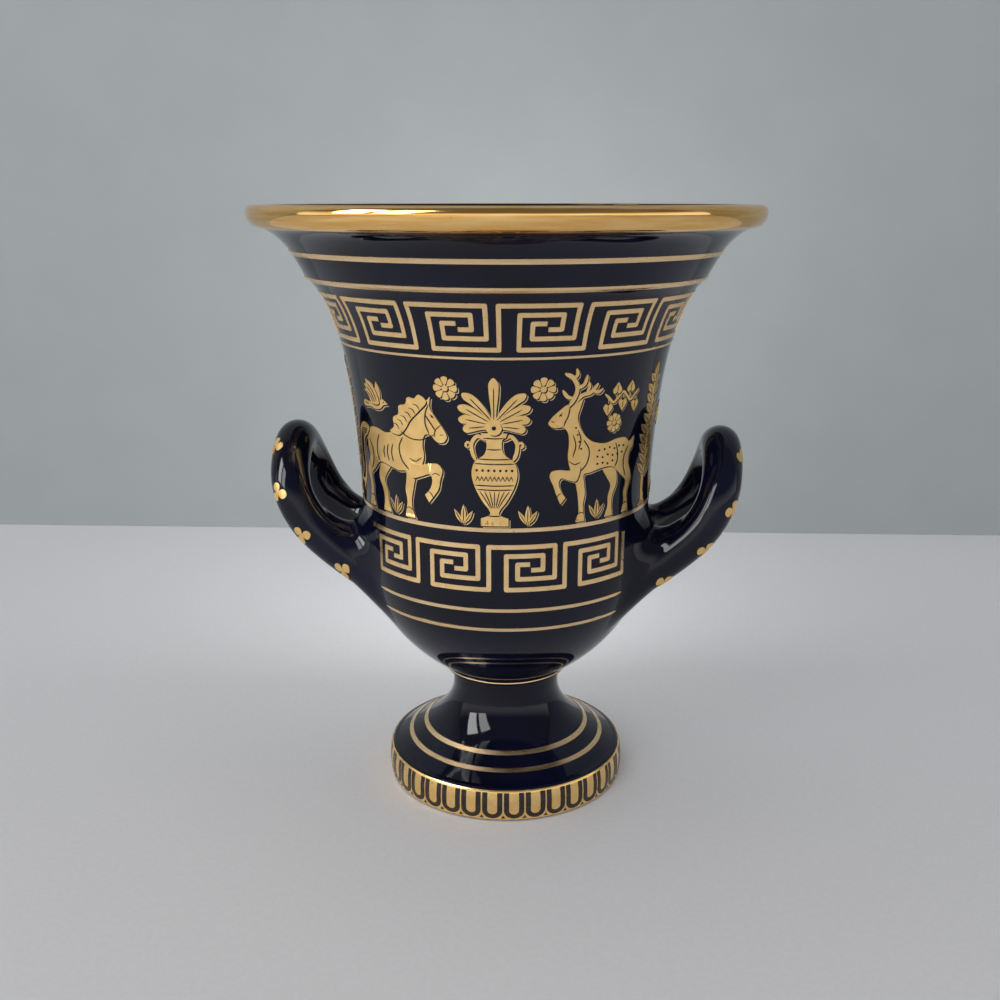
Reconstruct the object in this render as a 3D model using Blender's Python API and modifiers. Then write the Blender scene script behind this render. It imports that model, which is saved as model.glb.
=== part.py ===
"""Urn vase: a glazed bell krater on a trumpet foot, with two loop handles and fired-on gold bands.

Metres, +Z up. The origin is the middle of the foot's underside, on the surface the vase stands on.
The handles lie along X and the painted front faces -Y.
"""

import math

import bmesh
import bpy

MM = 0.001

# Clay walls and the slip joints between the four clay pieces
WALL = 4.0 * MM
FLOOR_THICKNESS = 4.5 * MM
SLIP_JOINT = 0.3 * MM

# Foot: WAIST_HEIGHT is its whole height, up to the joint with the bowl
WAIST_HEIGHT = 29.6 * MM
FOOT_RADIUS = 31.2 * MM
FOOT_EDGE_HEIGHT = 9.0 * MM
FOOT_EDGE_BULGE = 0.3 * MM
FOOT_EDGE_ROUND = 0.8 * MM
HOLLOW_CORNER = 2.0 * MM
NECK_RADIUS = 14.1 * MM
NECK_LENGTH = 4.4 * MM
NECK_FLARE_PULL = 8.0 * MM
FOOT_DOME_PULL = 6.3 * MM
FOOT_DOME_RISE = 3.7 * MM

# Bowl: the belly is placed from the waist, and the neck mouldings hang from the rim
RIM_HEIGHT = 150.0 * MM
WAIST_ROLL_STAND = 1.8 * MM
WAIST_ROLL_HEIGHT = 1.5 * MM
BELLY_RADIUS = 36.7 * MM
BELLY_RISE = 33.4 * MM
BELLY_FULLNESS = 17.0 * MM
BELLY_UNDERSIDE_RUN = 6.1 * MM
BELLY_UNDERSIDE_RISE = 3.0 * MM
FLARE_STRAIGHT = 33.0 * MM
FLARE_CURL_RUN = 9.6 * MM
FLARE_CURL_RISE = 7.6 * MM
LIP_RADIUS = 2.5 * MM
LIP_CENTRE_RADIUS = 60.5 * MM
COVE_RUN = 8.2 * MM
COVE_HEIGHT = 5.8 * MM
COVE_DEPTH = 0.7 * MM
FASCIA_RUN = 3.3 * MM
FASCIA_HEIGHT = 6.0 * MM

# Handles: placed from the belly that they are stuck to
HANDLE_THICKNESS = 9.8 * MM
HANDLE_ROOT_SPREAD = 1.6
HANDLE_HOLLOW_SPREAD = 1.18
HANDLE_LEG_SPACING = 27.0 * MM
HANDLE_ROOT_SINK = 6.2 * MM
HANDLE_ROOT_DROP = 5.6 * MM
HANDLE_HOLLOW_STAND = 0.4 * MM
HANDLE_HOLLOW_DROP = 1.1 * MM
HANDLE_LEG_STAND = 5.6 * MM
HANDLE_LEG_RISE = 2.9 * MM
HANDLE_BEND_STAND = 13.3 * MM
HANDLE_BEND_RISE = 10.8 * MM
HANDLE_STAND = 17.9 * MM
HANDLE_RISE = 28.5 * MM
HANDLE_SHOULDER_INSET = 0.8 * MM
HANDLE_SHOULDER_DROP = 8.5 * MM
HANDLE_SHOULDER_CLOSING = 1.7 * MM

# Gold coats: each line is placed from the moulding or belly it lies by
GILT_THICKNESS = 0.2 * MM
GILT_GAP = 0.1 * MM
NECK_LINE_WIDTH = 1.5 * MM
FRIEZE_TOP_LINE_WIDTH = 0.7 * MM
FRIEZE_TOP_LINE_DROP = 14.7 * MM
FRIEZE_LOW_LINE_WIDTH = 1.2 * MM
FRIEZE_LOW_LINE_RISE = 15.9 * MM
BELLY_LINE_WIDTH = 1.0 * MM
BELLY_LINE_UPPER_DROP = 4.1 * MM
BELLY_LINE_LOWER_DROP = 9.3 * MM
BELLY_LINE_CLEARANCE = 0.23 * MM
FOOT_LINE_WIDTH = 1.1 * MM
FOOT_LINE_INNER_INSET = 9.5 * MM
FOOT_LINE_OUTER_INSET = 5.4 * MM
EDGE_LINE_WIDTH = 0.6 * MM
EDGE_LINE_MARGIN = 0.9 * MM

# Facets
TURN_STEPS = 44
FLARE_POINTS = 12
UNDERSIDE_POINTS = 9
DOME_POINTS = 11
SHORT_CURVE_POINTS = 5
LIP_POINTS = 7
HANDLE_SPAN_STEPS = 4
HANDLE_SIDES_RESOLUTION = 4
MERGE_DISTANCE = 0.00001

# Colours
COBALT_GLAZE = (0.006, 0.007, 0.016)
BRIGHT_GOLD = (0.62, 0.42, 0.17)


def cubic(start, pull_start, pull_end, end, count):
    """Points of a cubic curve, its two ends included."""
    points = []
    for step in range(count):
        t = step / (count - 1)
        weights = ((1 - t) ** 3, 3 * t * (1 - t) ** 2, 3 * t * t * (1 - t), t ** 3)
        corners = (start, pull_start, pull_end, end)
        points.append(tuple(sum(w * c[axis] for w, c in zip(weights, corners)) for axis in range(2)))
    return points


def arc(centre, radius, from_angle, to_angle, count):
    """Points of a circular arc in the (radius, height) plane, its two ends included."""
    points = []
    for step in range(count):
        angle = from_angle + (to_angle - from_angle) * step / (count - 1)
        points.append((centre[0] + radius * math.cos(angle), centre[1] + radius * math.sin(angle)))
    return points


def offset(points, distance):
    """The same line moved sideways: outwards for a line that runs down the outer side."""
    moved = []
    last = len(points) - 1
    for index, (radius, height) in enumerate(points):
        before = points[max(index - 1, 0)]
        after = points[min(index + 1, last)]
        run, rise = after[0] - before[0], after[1] - before[1]
        length = math.hypot(run, rise)
        moved.append((radius - rise / length * distance, height + run / length * distance))
    return moved


def between_heights(points, low, high):
    """The stretch of a falling line between two heights, cut exactly at both."""
    def cut(height):
        for upper, lower in zip(points, points[1:]):
            if lower[1] <= height <= upper[1]:
                share = (upper[1] - height) / (upper[1] - lower[1])
                return (upper[0] + (lower[0] - upper[0]) * share, height)
        raise ValueError("the line does not reach this height")

    inside = [point for point in points if low + MERGE_DISTANCE < point[1] < high - MERGE_DISTANCE]
    return [cut(high)] + inside + [cut(low)]


def height_at_radius(points, radius):
    """The height where a line that runs down and outwards reaches a radius."""
    for inner, outer in zip(points, points[1:]):
        if inner[0] <= radius <= outer[0]:
            share = (radius - inner[0]) / (outer[0] - inner[0])
            return inner[1] + (outer[1] - inner[1]) * share
    raise ValueError("the line does not reach this radius")


def principled(name, colour, roughness, metallic):
    material = bpy.data.materials.new(name)
    material.use_nodes = True
    shader = material.node_tree.nodes["Principled BSDF"]
    shader.inputs["Base Color"].default_value = (*colour, 1.0)
    shader.inputs["Roughness"].default_value = roughness
    shader.inputs["Metallic"].default_value = metallic
    material.diffuse_color = (*colour, 1.0)
    return material


def add_object(name, data, material, collection):
    made = bpy.data.objects.new(name, data)
    collection.objects.link(made)
    if material is not None:
        data.materials.append(material)
        made.parent = vase
    return made


def turned(name, profile, closed, material, collection):
    """A profile at +X spun once round the axis of the vase."""
    mesh = bpy.data.meshes.new(name)
    edges = [(index, index + 1) for index in range(len(profile) - 1)]
    if closed:
        edges.append((len(profile) - 1, 0))
    mesh.from_pydata([(radius, 0.0, height) for radius, height in profile], edges, [])
    made = add_object(name, mesh, material, collection)
    spin = made.modifiers.new("turn", "SCREW")
    spin.axis = "Z"
    spin.angle = 2 * math.pi
    spin.steps = TURN_STEPS
    spin.render_steps = TURN_STEPS
    spin.use_merge_vertices = True
    spin.merge_threshold = MERGE_DISTANCE
    spin.use_smooth_shade = True
    return made


def gilt_skin(name, line):
    """A thin gold coat that follows a stretch of the clay's outline, just clear of it."""
    outer = offset(line, GILT_GAP + GILT_THICKNESS)
    inner = offset(line, GILT_GAP)
    return turned(name, outer + inner[::-1], True, gold, parts)


def gilt_line(name, outline, height, width):
    return gilt_skin(name, between_heights(outline, height - width / 2, height + width / 2))


def cut_with(piece, cutter):
    boolean = piece.modifiers.new("cut_" + cutter.name, "BOOLEAN")
    boolean.operation = "DIFFERENCE"
    boolean.solver = "EXACT"
    boolean.object = cutter


def as_cutter(piece):
    piece.hide_render = True
    piece.display_type = "WIRE"
    return piece


def as_mesh(curve_object):
    """The evaluated curve as a mesh with its end caps welded on."""
    graph = bpy.context.evaluated_depsgraph_get()
    mesh = bpy.data.meshes.new_from_object(curve_object.evaluated_get(graph))
    welded = bmesh.new()
    welded.from_mesh(mesh)
    bmesh.ops.remove_doubles(welded, verts=welded.verts, dist=MERGE_DISTANCE)
    bmesh.ops.recalc_face_normals(welded, faces=welded.faces)
    welded.to_mesh(mesh)
    welded.free()
    bpy.data.objects.remove(curve_object, do_unlink=True)
    mesh.shade_smooth()
    return mesh


# Start from an empty scene
for leftover in list(bpy.data.objects):
    bpy.data.objects.remove(leftover, do_unlink=True)
parts = bpy.data.collections.new("urn_vase")
cutters = bpy.data.collections.new("cutters")
bpy.context.scene.collection.children.link(parts)
bpy.context.scene.collection.children.link(cutters)
vase = bpy.data.objects.new("urn_vase_origin", None)
parts.objects.link(vase)
glaze = principled("cobalt_glaze", COBALT_GLAZE, 0.08, 0.0)
gold = principled("bright_gold", BRIGHT_GOLD, 0.28, 1.0)

# Bowl, from the lip down: half-round lip, cove, fascia between two kinks, flare and belly
lip_centre = (LIP_CENTRE_RADIUS, RIM_HEIGHT - LIP_RADIUS)
lip = arc(lip_centre, LIP_RADIUS, math.pi / 2, -math.pi / 2, LIP_POINTS)
lip_underside = lip[-1]
fascia_top = (lip_underside[0] - COVE_RUN, lip_underside[1] - COVE_HEIGHT)
fascia_low = (fascia_top[0] - FASCIA_RUN, fascia_top[1] - FASCIA_HEIGHT)
cove = cubic(
    lip_underside,
    (lip_underside[0] - COVE_RUN / 3, lip_underside[1] - COVE_HEIGHT / 3 + COVE_DEPTH),
    (fascia_top[0] + COVE_RUN / 3, fascia_top[1] + COVE_HEIGHT / 3 + COVE_DEPTH),
    fascia_top,
    SHORT_CURVE_POINTS,
)
bowl_bottom = (NECK_RADIUS, WAIST_HEIGHT + SLIP_JOINT)
belly_height = WAIST_HEIGHT + BELLY_RISE
belly = (BELLY_RADIUS, belly_height)
flare = cubic(
    fascia_low,
    (fascia_low[0] - FLARE_CURL_RUN, fascia_low[1] - FLARE_CURL_RISE),
    (BELLY_RADIUS, belly_height + FLARE_STRAIGHT),
    belly,
    FLARE_POINTS,
)
waist_roll_radius = NECK_RADIUS + WAIST_ROLL_STAND
waist_roll = (waist_roll_radius, bowl_bottom[1] + WAIST_ROLL_HEIGHT)
underside = cubic(
    belly,
    (BELLY_RADIUS, belly_height - BELLY_FULLNESS),
    (waist_roll_radius + BELLY_UNDERSIDE_RUN, waist_roll[1] + BELLY_UNDERSIDE_RISE),
    waist_roll,
    UNDERSIDE_POINTS,
)
roll_underside = (waist_roll_radius, bowl_bottom[1] + WAIST_ROLL_HEIGHT / 3)
neck_and_belly = cove + flare + underside[1:]
bowl_outline = lip + neck_and_belly[1:] + [roll_underside, bowl_bottom]

# The inside of the bowl follows the outside at the wall's thickness, down to a level floor
inside = offset([lip_underside, fascia_top] + flare + underside[1:], -WALL)
floor_height = bowl_bottom[1] + FLOOR_THICKNESS
inside_wall = [point for point in inside if point[1] > floor_height + WALL]
floor_edge = (inside_wall[-1][0] - WALL, floor_height)
inside_lip = arc(
    (LIP_CENTRE_RADIUS - LIP_RADIUS / 2, RIM_HEIGHT - LIP_RADIUS / 2),
    LIP_RADIUS / 2,
    math.pi / 2,
    math.pi,
    SHORT_CURVE_POINTS,
)
bowl_inside = inside_lip + inside_wall[1:] + [floor_edge, (0.0, floor_height)]
turned("bowl", bowl_inside[::-1] + bowl_outline + [(0.0, bowl_bottom[1])], False, glaze, parts)

# Pedestal foot: a short neck that flares to a low dome with an upright, slightly bulging edge
foot_top = (NECK_RADIUS, WAIST_HEIGHT)
neck_low = (NECK_RADIUS, WAIST_HEIGHT - NECK_LENGTH)
foot_shoulder = (FOOT_RADIUS - FOOT_EDGE_ROUND, FOOT_EDGE_HEIGHT)
dome = cubic(
    neck_low,
    (NECK_RADIUS, neck_low[1] - NECK_FLARE_PULL),
    (foot_shoulder[0] - FOOT_DOME_PULL, FOOT_EDGE_HEIGHT + FOOT_DOME_RISE),
    foot_shoulder,
    DOME_POINTS,
)
edge_middle = (FOOT_RADIUS + FOOT_EDGE_BULGE, FOOT_EDGE_HEIGHT / 2)
foot_edge = [
    (FOOT_RADIUS, FOOT_EDGE_HEIGHT - FOOT_EDGE_ROUND),
    edge_middle,
    (FOOT_RADIUS, FOOT_EDGE_ROUND / 2),
]
rest_inner_radius = FOOT_RADIUS - WALL
foot_rest = [(FOOT_RADIUS - FOOT_EDGE_ROUND / 2, 0.0), (rest_inner_radius, 0.0)]
under_dome = offset(dome, -WALL)
hollow = [point for point in under_dome[::-1] if point[0] < rest_inner_radius - HOLLOW_CORNER]
hollow_top = (0.0, hollow[-1][1])
foot_hollow = [(rest_inner_radius, hollow[0][1] - HOLLOW_CORNER)] + hollow + [hollow_top]
foot_profile = [(0.0, WAIST_HEIGHT), foot_top] + dome + foot_edge + foot_rest + foot_hollow
turned("pedestal_foot", foot_profile, False, glaze, parts)

# Handles: one round roll of clay bent into a loop, its two ends spread where they are pressed on to the bowl
half_spacing = HANDLE_LEG_SPACING / 2
shoulder_side = half_spacing - HANDLE_SHOULDER_CLOSING
front_half = [
    (-HANDLE_ROOT_SINK, half_spacing, -HANDLE_ROOT_DROP, HANDLE_ROOT_SPREAD),
    (HANDLE_HOLLOW_STAND, half_spacing, -HANDLE_HOLLOW_DROP, HANDLE_HOLLOW_SPREAD),
    (HANDLE_LEG_STAND, half_spacing, HANDLE_LEG_RISE, 1.0),
    (HANDLE_BEND_STAND, half_spacing, HANDLE_BEND_RISE, 1.0),
    (HANDLE_STAND - HANDLE_SHOULDER_INSET, shoulder_side, HANDLE_RISE - HANDLE_SHOULDER_DROP, 1.0),
]
top = [(HANDLE_STAND, 0.0, HANDLE_RISE, 1.0)]
back_half = [(stand, -side, rise, spread) for stand, side, rise, spread in front_half[::-1]]
handle_line = front_half + top + back_half

handle_curve = bpy.data.curves.new("handle", "CURVE")
handle_curve.dimensions = "3D"
handle_curve.resolution_u = HANDLE_SPAN_STEPS
handle_curve.bevel_depth = HANDLE_THICKNESS / 2
handle_curve.bevel_resolution = HANDLE_SIDES_RESOLUTION
handle_curve.use_fill_caps = True
spline = handle_curve.splines.new("BEZIER")
spline.bezier_points.add(len(handle_line) - 1)
for knot, (stand, side, rise, spread) in zip(spline.bezier_points, handle_line):
    knot.co = (BELLY_RADIUS + stand, -side, belly_height + rise)
    knot.handle_left_type = "AUTO"
    knot.handle_right_type = "AUTO"
    knot.radius = spread
spline.radius_interpolation = "CARDINAL"
handle_mesh = as_mesh(add_object("handle_line", handle_curve, None, parts))
handle_mesh.materials.append(glaze)

# Each handle end is cut to the curve of the bowl, less the slip joint
bowl_side = offset(neck_and_belly, SLIP_JOINT)
bowl_room = [(0.0, bowl_side[0][1])] + bowl_side + [(0.0, bowl_side[-1][1])]
bowl_clearance = as_cutter(turned("bowl_clearance", bowl_room, False, None, cutters))
for name, turn in (("handle_right", 0.0), ("handle_left", math.pi)):
    handle = bpy.data.objects.new(name, handle_mesh)
    handle.rotation_euler[2] = turn
    handle.parent = vase
    parts.objects.link(handle)
    cut_with(handle, bowl_clearance)

# Gold on the lip, from its underside over the top
gilt_skin("rim_gilding", lip)

# Gold lines round the whole vase, each laid on the outline of the clay below it
gilt_line("neck_line_upper", bowl_outline, fascia_top[1], NECK_LINE_WIDTH)
gilt_line("neck_line_lower", bowl_outline, fascia_low[1], NECK_LINE_WIDTH)
frieze_top = fascia_low[1] - FRIEZE_TOP_LINE_DROP
gilt_line("frieze_line_upper", bowl_outline, frieze_top, FRIEZE_TOP_LINE_WIDTH)
frieze_low = belly_height + FRIEZE_LOW_LINE_RISE
gilt_line("frieze_line_lower", bowl_outline, frieze_low, FRIEZE_LOW_LINE_WIDTH)
roll_middle = bowl_bottom[1] + WAIST_ROLL_HEIGHT * 2 / 3
gilt_line("waist_ring", bowl_outline, roll_middle, WAIST_ROLL_HEIGHT / 2)
for name, inset in (("foot_line_inner", FOOT_LINE_INNER_INSET), ("foot_line_outer", FOOT_LINE_OUTER_INSET)):
    radius = FOOT_RADIUS - inset
    high = height_at_radius(dome, radius - FOOT_LINE_WIDTH / 2)
    low = height_at_radius(dome, radius + FOOT_LINE_WIDTH / 2)
    gilt_skin(name, between_heights(dome, low, high))
edge_top = FOOT_EDGE_HEIGHT - FOOT_EDGE_ROUND - EDGE_LINE_MARGIN
edge_low = FOOT_EDGE_ROUND / 2 + EDGE_LINE_MARGIN
gilt_line("foot_edge_line_upper", foot_edge, edge_top, EDGE_LINE_WIDTH)
gilt_line("foot_edge_line_lower", foot_edge, edge_low, EDGE_LINE_WIDTH)

# Belly lines stop just clear of the spread handle ends: a block takes away all but the front or the back stretch
block_size = 4 * BELLY_RADIUS
root_half_width = HANDLE_THICKNESS / 2 * HANDLE_ROOT_SPREAD
stretch_edge = half_spacing + root_half_width + BELLY_LINE_CLEARANCE
belly_lines = (
    ("belly_line_upper", belly_height - BELLY_LINE_UPPER_DROP),
    ("belly_line_lower", belly_height - BELLY_LINE_LOWER_DROP),
)
for side_name, side in (("front", -1), ("back", 1)):
    bpy.ops.mesh.primitive_cube_add(size=block_size)
    block = as_cutter(bpy.context.object)
    block.name = "all_but_" + side_name
    block.location = (0.0, side * (stretch_edge - block_size / 2), belly_height)
    for owner in list(block.users_collection):
        owner.objects.unlink(block)
    cutters.objects.link(block)
    for line_name, height in belly_lines:
        cut_with(gilt_line(line_name + "_" + side_name, bowl_outline, height, BELLY_LINE_WIDTH), block)
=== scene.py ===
import bisect
import math

import bmesh
import bpy
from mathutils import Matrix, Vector


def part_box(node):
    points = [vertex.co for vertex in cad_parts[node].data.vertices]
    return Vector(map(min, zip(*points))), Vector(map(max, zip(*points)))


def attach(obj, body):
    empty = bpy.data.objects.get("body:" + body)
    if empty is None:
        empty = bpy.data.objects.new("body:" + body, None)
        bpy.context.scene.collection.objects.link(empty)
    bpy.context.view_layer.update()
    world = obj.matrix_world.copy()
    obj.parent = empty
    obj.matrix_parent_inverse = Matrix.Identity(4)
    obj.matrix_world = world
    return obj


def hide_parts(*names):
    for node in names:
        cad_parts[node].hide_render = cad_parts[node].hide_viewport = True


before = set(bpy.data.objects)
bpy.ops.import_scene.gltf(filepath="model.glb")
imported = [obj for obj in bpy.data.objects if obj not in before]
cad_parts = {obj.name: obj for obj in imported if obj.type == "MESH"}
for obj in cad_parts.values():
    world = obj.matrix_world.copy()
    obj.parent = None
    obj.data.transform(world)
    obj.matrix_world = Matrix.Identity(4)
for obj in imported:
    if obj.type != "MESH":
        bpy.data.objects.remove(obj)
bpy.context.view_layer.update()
bpy.context.scene.view_settings.view_transform = "Standard"

# Bowl
# A bell of earthenware, slip-cast and turned true, with a rolled lip, a hollow cove and a plain fascia at
# the neck. It is dipped in near-black cobalt glaze, which runs over every edge, and fired to a high gloss.
MM = 0.001
TURN_STEPS = 288
SHARP_EDGE = math.radians(48)
WALL = 4.0 * MM
LIP_HEIGHT = 5.0 * MM
LIP_RUN = 2.5 * MM
LIP_ROUND = 1.6 * MM
LIP_INSET = 0.7 * MM
LIP_FULLNESS = 0.65
LIP_TUCK_RUN = 0.4
LIP_TUCK_DROP = 0.93
COVE_RUN = 8.2 * MM
COVE_HEIGHT = 5.8 * MM
COVE_DEPTH = 1.5 * MM
FASCIA_RUN = 3.3 * MM
FASCIA_HEIGHT = 6.0 * MM
FLARE_CURL_RUN = 9.6 * MM
FLARE_CURL_RISE = 7.6 * MM
FLARE_STRAIGHT = 33.0 * MM
BELLY_RADIUS = 36.7 * MM
BELLY_RISE = 33.1 * MM
BELLY_FULLNESS = 17.0 * MM
BELLY_UNDERSIDE_RUN = 6.1 * MM
BELLY_UNDERSIDE_RISE = 3.0 * MM
NECK_RADIUS = 14.1 * MM
WAIST_ROLL_STAND = 1.8 * MM
WAIST_ROLL_HEIGHT = 1.5 * MM
FLOOR_THICKNESS = 4.5 * MM
ROUND_POINTS = 13
SMALL_ROUND_POINTS = 9
LIP_POINTS = 15
COVE_POINTS = 17
FASCIA_POINTS = 6
FLARE_POINTS = 81
UNDERSIDE_POINTS = 49
FLOOR_POINTS = 17
GLAZE_DEEP = (0.0018, 0.0022, 0.0070, 1.0)
GLAZE_BLUE = (0.0036, 0.0048, 0.0190, 1.0)
GLAZE_SHINE = 0.30
GLAZE_INDEX = 1.52


def cubic(start, pull_start, pull_end, end, count):
    """Points of a cubic curve, its two ends included."""
    points = []
    for step in range(count):
        t = step / (count - 1)
        weights = ((1 - t) ** 3, 3 * t * (1 - t) ** 2, 3 * t * t * (1 - t), t ** 3)
        corners = (start, pull_start, pull_end, end)
        points.append(tuple(sum(w * c[axis] for w, c in zip(weights, corners)) for axis in range(2)))
    return points


def arc(centre, radius, from_angle, to_angle, count):
    """Points of a circular arc, its two ends included."""
    turns = [from_angle + (to_angle - from_angle) * step / (count - 1) for step in range(count)]
    return [(centre[0] + radius * math.cos(t), centre[1] + radius * math.sin(t)) for t in turns]


def straight(start, end, count):
    """Points of a straight line without its last one."""
    shares = [step / count for step in range(count)]
    return [tuple(a + (b - a) * share for a, b in zip(start, end)) for share in shares]


def offset(line, distance):
    """A line that runs down the outer side of the wall, moved off it by a distance."""
    moved = []
    last = len(line) - 1
    for index, (radius, height) in enumerate(line):
        before = line[max(index - 1, 0)]
        after = line[min(index + 1, last)]
        run, rise = after[0] - before[0], after[1] - before[1]
        length = math.hypot(run, rise)
        moved.append((radius - rise / length * distance, height + run / length * distance))
    return moved


def link_mesh(name, flesh, material):
    """A shaded object from a finished bmesh."""
    mesh = bpy.data.meshes.new(name)
    flesh.to_mesh(mesh)
    flesh.free()
    mesh.shade_smooth()
    mesh.set_sharp_from_angle(angle=SHARP_EDGE)
    mesh.materials.append(material)
    piece = bpy.data.objects.new(name, mesh)
    bpy.context.scene.collection.objects.link(piece)
    return piece


def turned(name, line, material, closed=False):
    """A line of (radius, height) points, down the outer side, spun once round the axis."""
    flesh = bmesh.new()
    rings = []
    for radius, height in line:
        count = TURN_STEPS if radius > 0 else 1
        ring = []
        for step in range(count):
            angle = 2 * math.pi * step / TURN_STEPS
            ring.append(flesh.verts.new((radius * math.cos(angle), radius * math.sin(angle), height)))
        rings.append(ring)
    pairs = list(zip(rings, rings[1:]))
    if closed:
        pairs.append((rings[-1], rings[0]))
    for upper, lower in pairs:
        for step in range(TURN_STEPS):
            ahead = (step + 1) % TURN_STEPS
            corners = [upper[step % len(upper)], lower[step % len(lower)]]
            corners += [lower[ahead % len(lower)], upper[ahead % len(upper)]]
            flesh.faces.new(list(dict.fromkeys(corners)))
    return link_mesh(name, flesh, material)


def set_in_frame(piece, slot, *cad_nodes):
    """The piece belongs to the vase's one body and may stand for plain CAD pieces, which it hides; slot is
    not used.
    """
    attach(piece, "root")
    if cad_nodes:
        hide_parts(*cad_nodes)


def new_finish(name):
    """A node material with its shader, ready for sockets and textures."""
    material = bpy.data.materials.new(name)
    material.use_nodes = True
    return material, material.node_tree, material.node_tree.nodes["Principled BSDF"]


def cloud(tree, lumps_per_metre, detail, stretch=(1.0, 1.0, 1.0)):
    """Soft noise fixed to the piece, from 0 to 1."""
    place = tree.nodes.new("ShaderNodeTexCoord")
    scale = tree.nodes.new("ShaderNodeMapping")
    scale.inputs["Scale"].default_value = stretch
    noise = tree.nodes.new("ShaderNodeTexNoise")
    noise.inputs["Scale"].default_value = lumps_per_metre
    noise.inputs["Detail"].default_value = detail
    tree.links.new(place.outputs["Object"], scale.inputs["Vector"])
    tree.links.new(scale.outputs["Vector"], noise.inputs["Vector"])
    return noise.outputs[0]


def shades(tree, source, stops):
    """Colours that follow a 0 to 1 value."""
    ramp = tree.nodes.new("ShaderNodeValToRGB")
    ramp.color_ramp.elements.remove(ramp.color_ramp.elements[1])
    ramp.color_ramp.elements[0].position = stops[0][0]
    ramp.color_ramp.elements[0].color = stops[0][1]
    for place, colour in stops[1:]:
        ramp.color_ramp.elements.new(place).color = colour
    tree.links.new(source, ramp.inputs["Fac"])
    return ramp.outputs["Color"]


def levels(tree, source, low, high, from_low=0.35, from_high=0.65):
    """A 0 to 1 value spread over a new range."""
    spread = tree.nodes.new("ShaderNodeMapRange")
    spread.inputs["From Min"].default_value = from_low
    spread.inputs["From Max"].default_value = from_high
    spread.inputs["To Min"].default_value = low
    spread.inputs["To Max"].default_value = high
    tree.links.new(source, spread.inputs["Value"])
    return spread.outputs["Result"]


def relief(tree, source, depth, strength):
    """Small ups and downs of the surface, depth in metres."""
    bump = tree.nodes.new("ShaderNodeBump")
    bump.inputs["Strength"].default_value = strength
    bump.inputs["Distance"].default_value = depth
    tree.links.new(source, bump.inputs["Height"])
    return bump.outputs["Normal"]


def cobalt_glaze():
    """Thick dark glaze: faint blue clouds, a glassy skin with slow waves, and a breath of haze."""
    material, tree, shader = new_finish("cobalt_glaze")
    clouds = cloud(tree, lumps_per_metre=45, detail=4)
    haze = cloud(tree, lumps_per_metre=420, detail=3)
    waves = cloud(tree, lumps_per_metre=110, detail=2)
    blue = shades(tree, clouds, ((0.35, GLAZE_DEEP), (0.7, GLAZE_BLUE)))
    tree.links.new(blue, shader.inputs["Base Color"])
    tree.links.new(levels(tree, haze, low=0.035, high=0.09), shader.inputs["Roughness"])
    tree.links.new(relief(tree, waves, depth=0.25 * MM, strength=0.05), shader.inputs["Normal"])
    shader.inputs["IOR"].default_value = GLAZE_INDEX
    shader.inputs["Specular IOR Level"].default_value = GLAZE_SHINE
    return material


bowl_low, bowl_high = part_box("bowl")
rim_height = bowl_high[2]
waist_height = bowl_low[2]
belly_height = waist_height + BELLY_RISE
lip_out = bowl_high[0] - LIP_INSET
lip_widest = (lip_out, rim_height - LIP_ROUND)
lip_underside = (lip_out - LIP_RUN, rim_height - LIP_HEIGHT)
lip_top = (lip_underside[0], rim_height)
lip = [lip_top] + arc((lip_out - LIP_ROUND, lip_widest[1]), LIP_ROUND, math.pi / 2, 0.0, ROUND_POINTS)
lip += cubic(
    lip_widest,
    (lip_out, rim_height - LIP_FULLNESS * LIP_HEIGHT),
    (lip_out - LIP_TUCK_RUN * LIP_RUN, rim_height - LIP_TUCK_DROP * LIP_HEIGHT),
    lip_underside,
    LIP_POINTS,
)[1:]
fascia_top = (bowl_high[0] - LIP_RUN - COVE_RUN, lip_underside[1] - COVE_HEIGHT)
cove_run = lip_underside[0] - fascia_top[0]
fascia_low = (fascia_top[0] - FASCIA_RUN, fascia_top[1] - FASCIA_HEIGHT)
belly = (BELLY_RADIUS, belly_height)
waist_roll = (NECK_RADIUS + WAIST_ROLL_STAND, waist_height + WAIST_ROLL_HEIGHT)
cove = cubic(
    lip_underside,
    (lip_underside[0] - cove_run / 3, lip_underside[1] - COVE_HEIGHT / 3 + COVE_DEPTH),
    (fascia_top[0] + cove_run / 3, fascia_top[1] + COVE_HEIGHT / 3 + COVE_DEPTH),
    fascia_top,
    COVE_POINTS,
)
flare = cubic(
    fascia_low,
    (fascia_low[0] - FLARE_CURL_RUN, fascia_low[1] - FLARE_CURL_RISE),
    (BELLY_RADIUS, belly_height + FLARE_STRAIGHT),
    belly,
    FLARE_POINTS,
)
underside = cubic(
    belly,
    (BELLY_RADIUS, belly_height - BELLY_FULLNESS),
    (waist_roll[0] + BELLY_UNDERSIDE_RUN, waist_roll[1] + BELLY_UNDERSIDE_RISE),
    waist_roll,
    UNDERSIDE_POINTS,
)
roll_radius = WAIST_ROLL_HEIGHT / 2
roll_middle = (waist_roll[0] - roll_radius / 2, waist_height + roll_radius)
roll = arc(roll_middle, roll_radius, math.pi / 3, -math.pi / 2, SMALL_ROUND_POINTS)
fascia = straight(fascia_top, fascia_low, FASCIA_POINTS)
bowl_line = lip[1:] + cove[1:-1] + fascia + flare + underside[1:] + roll
inside = offset([lip_underside] + fascia + flare + underside[1:], -WALL)
floor_height = waist_height + FLOOR_THICKNESS
inside_wall = [point for point in inside[1:] if point[1] > floor_height + 2 * WALL]
inside_round = LIP_RUN / 2
inside_lip_middle = (lip_top[0], rim_height - inside_round)
inside_lip = arc(inside_lip_middle, inside_round, math.pi / 2, math.pi, SMALL_ROUND_POINTS)
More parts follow.
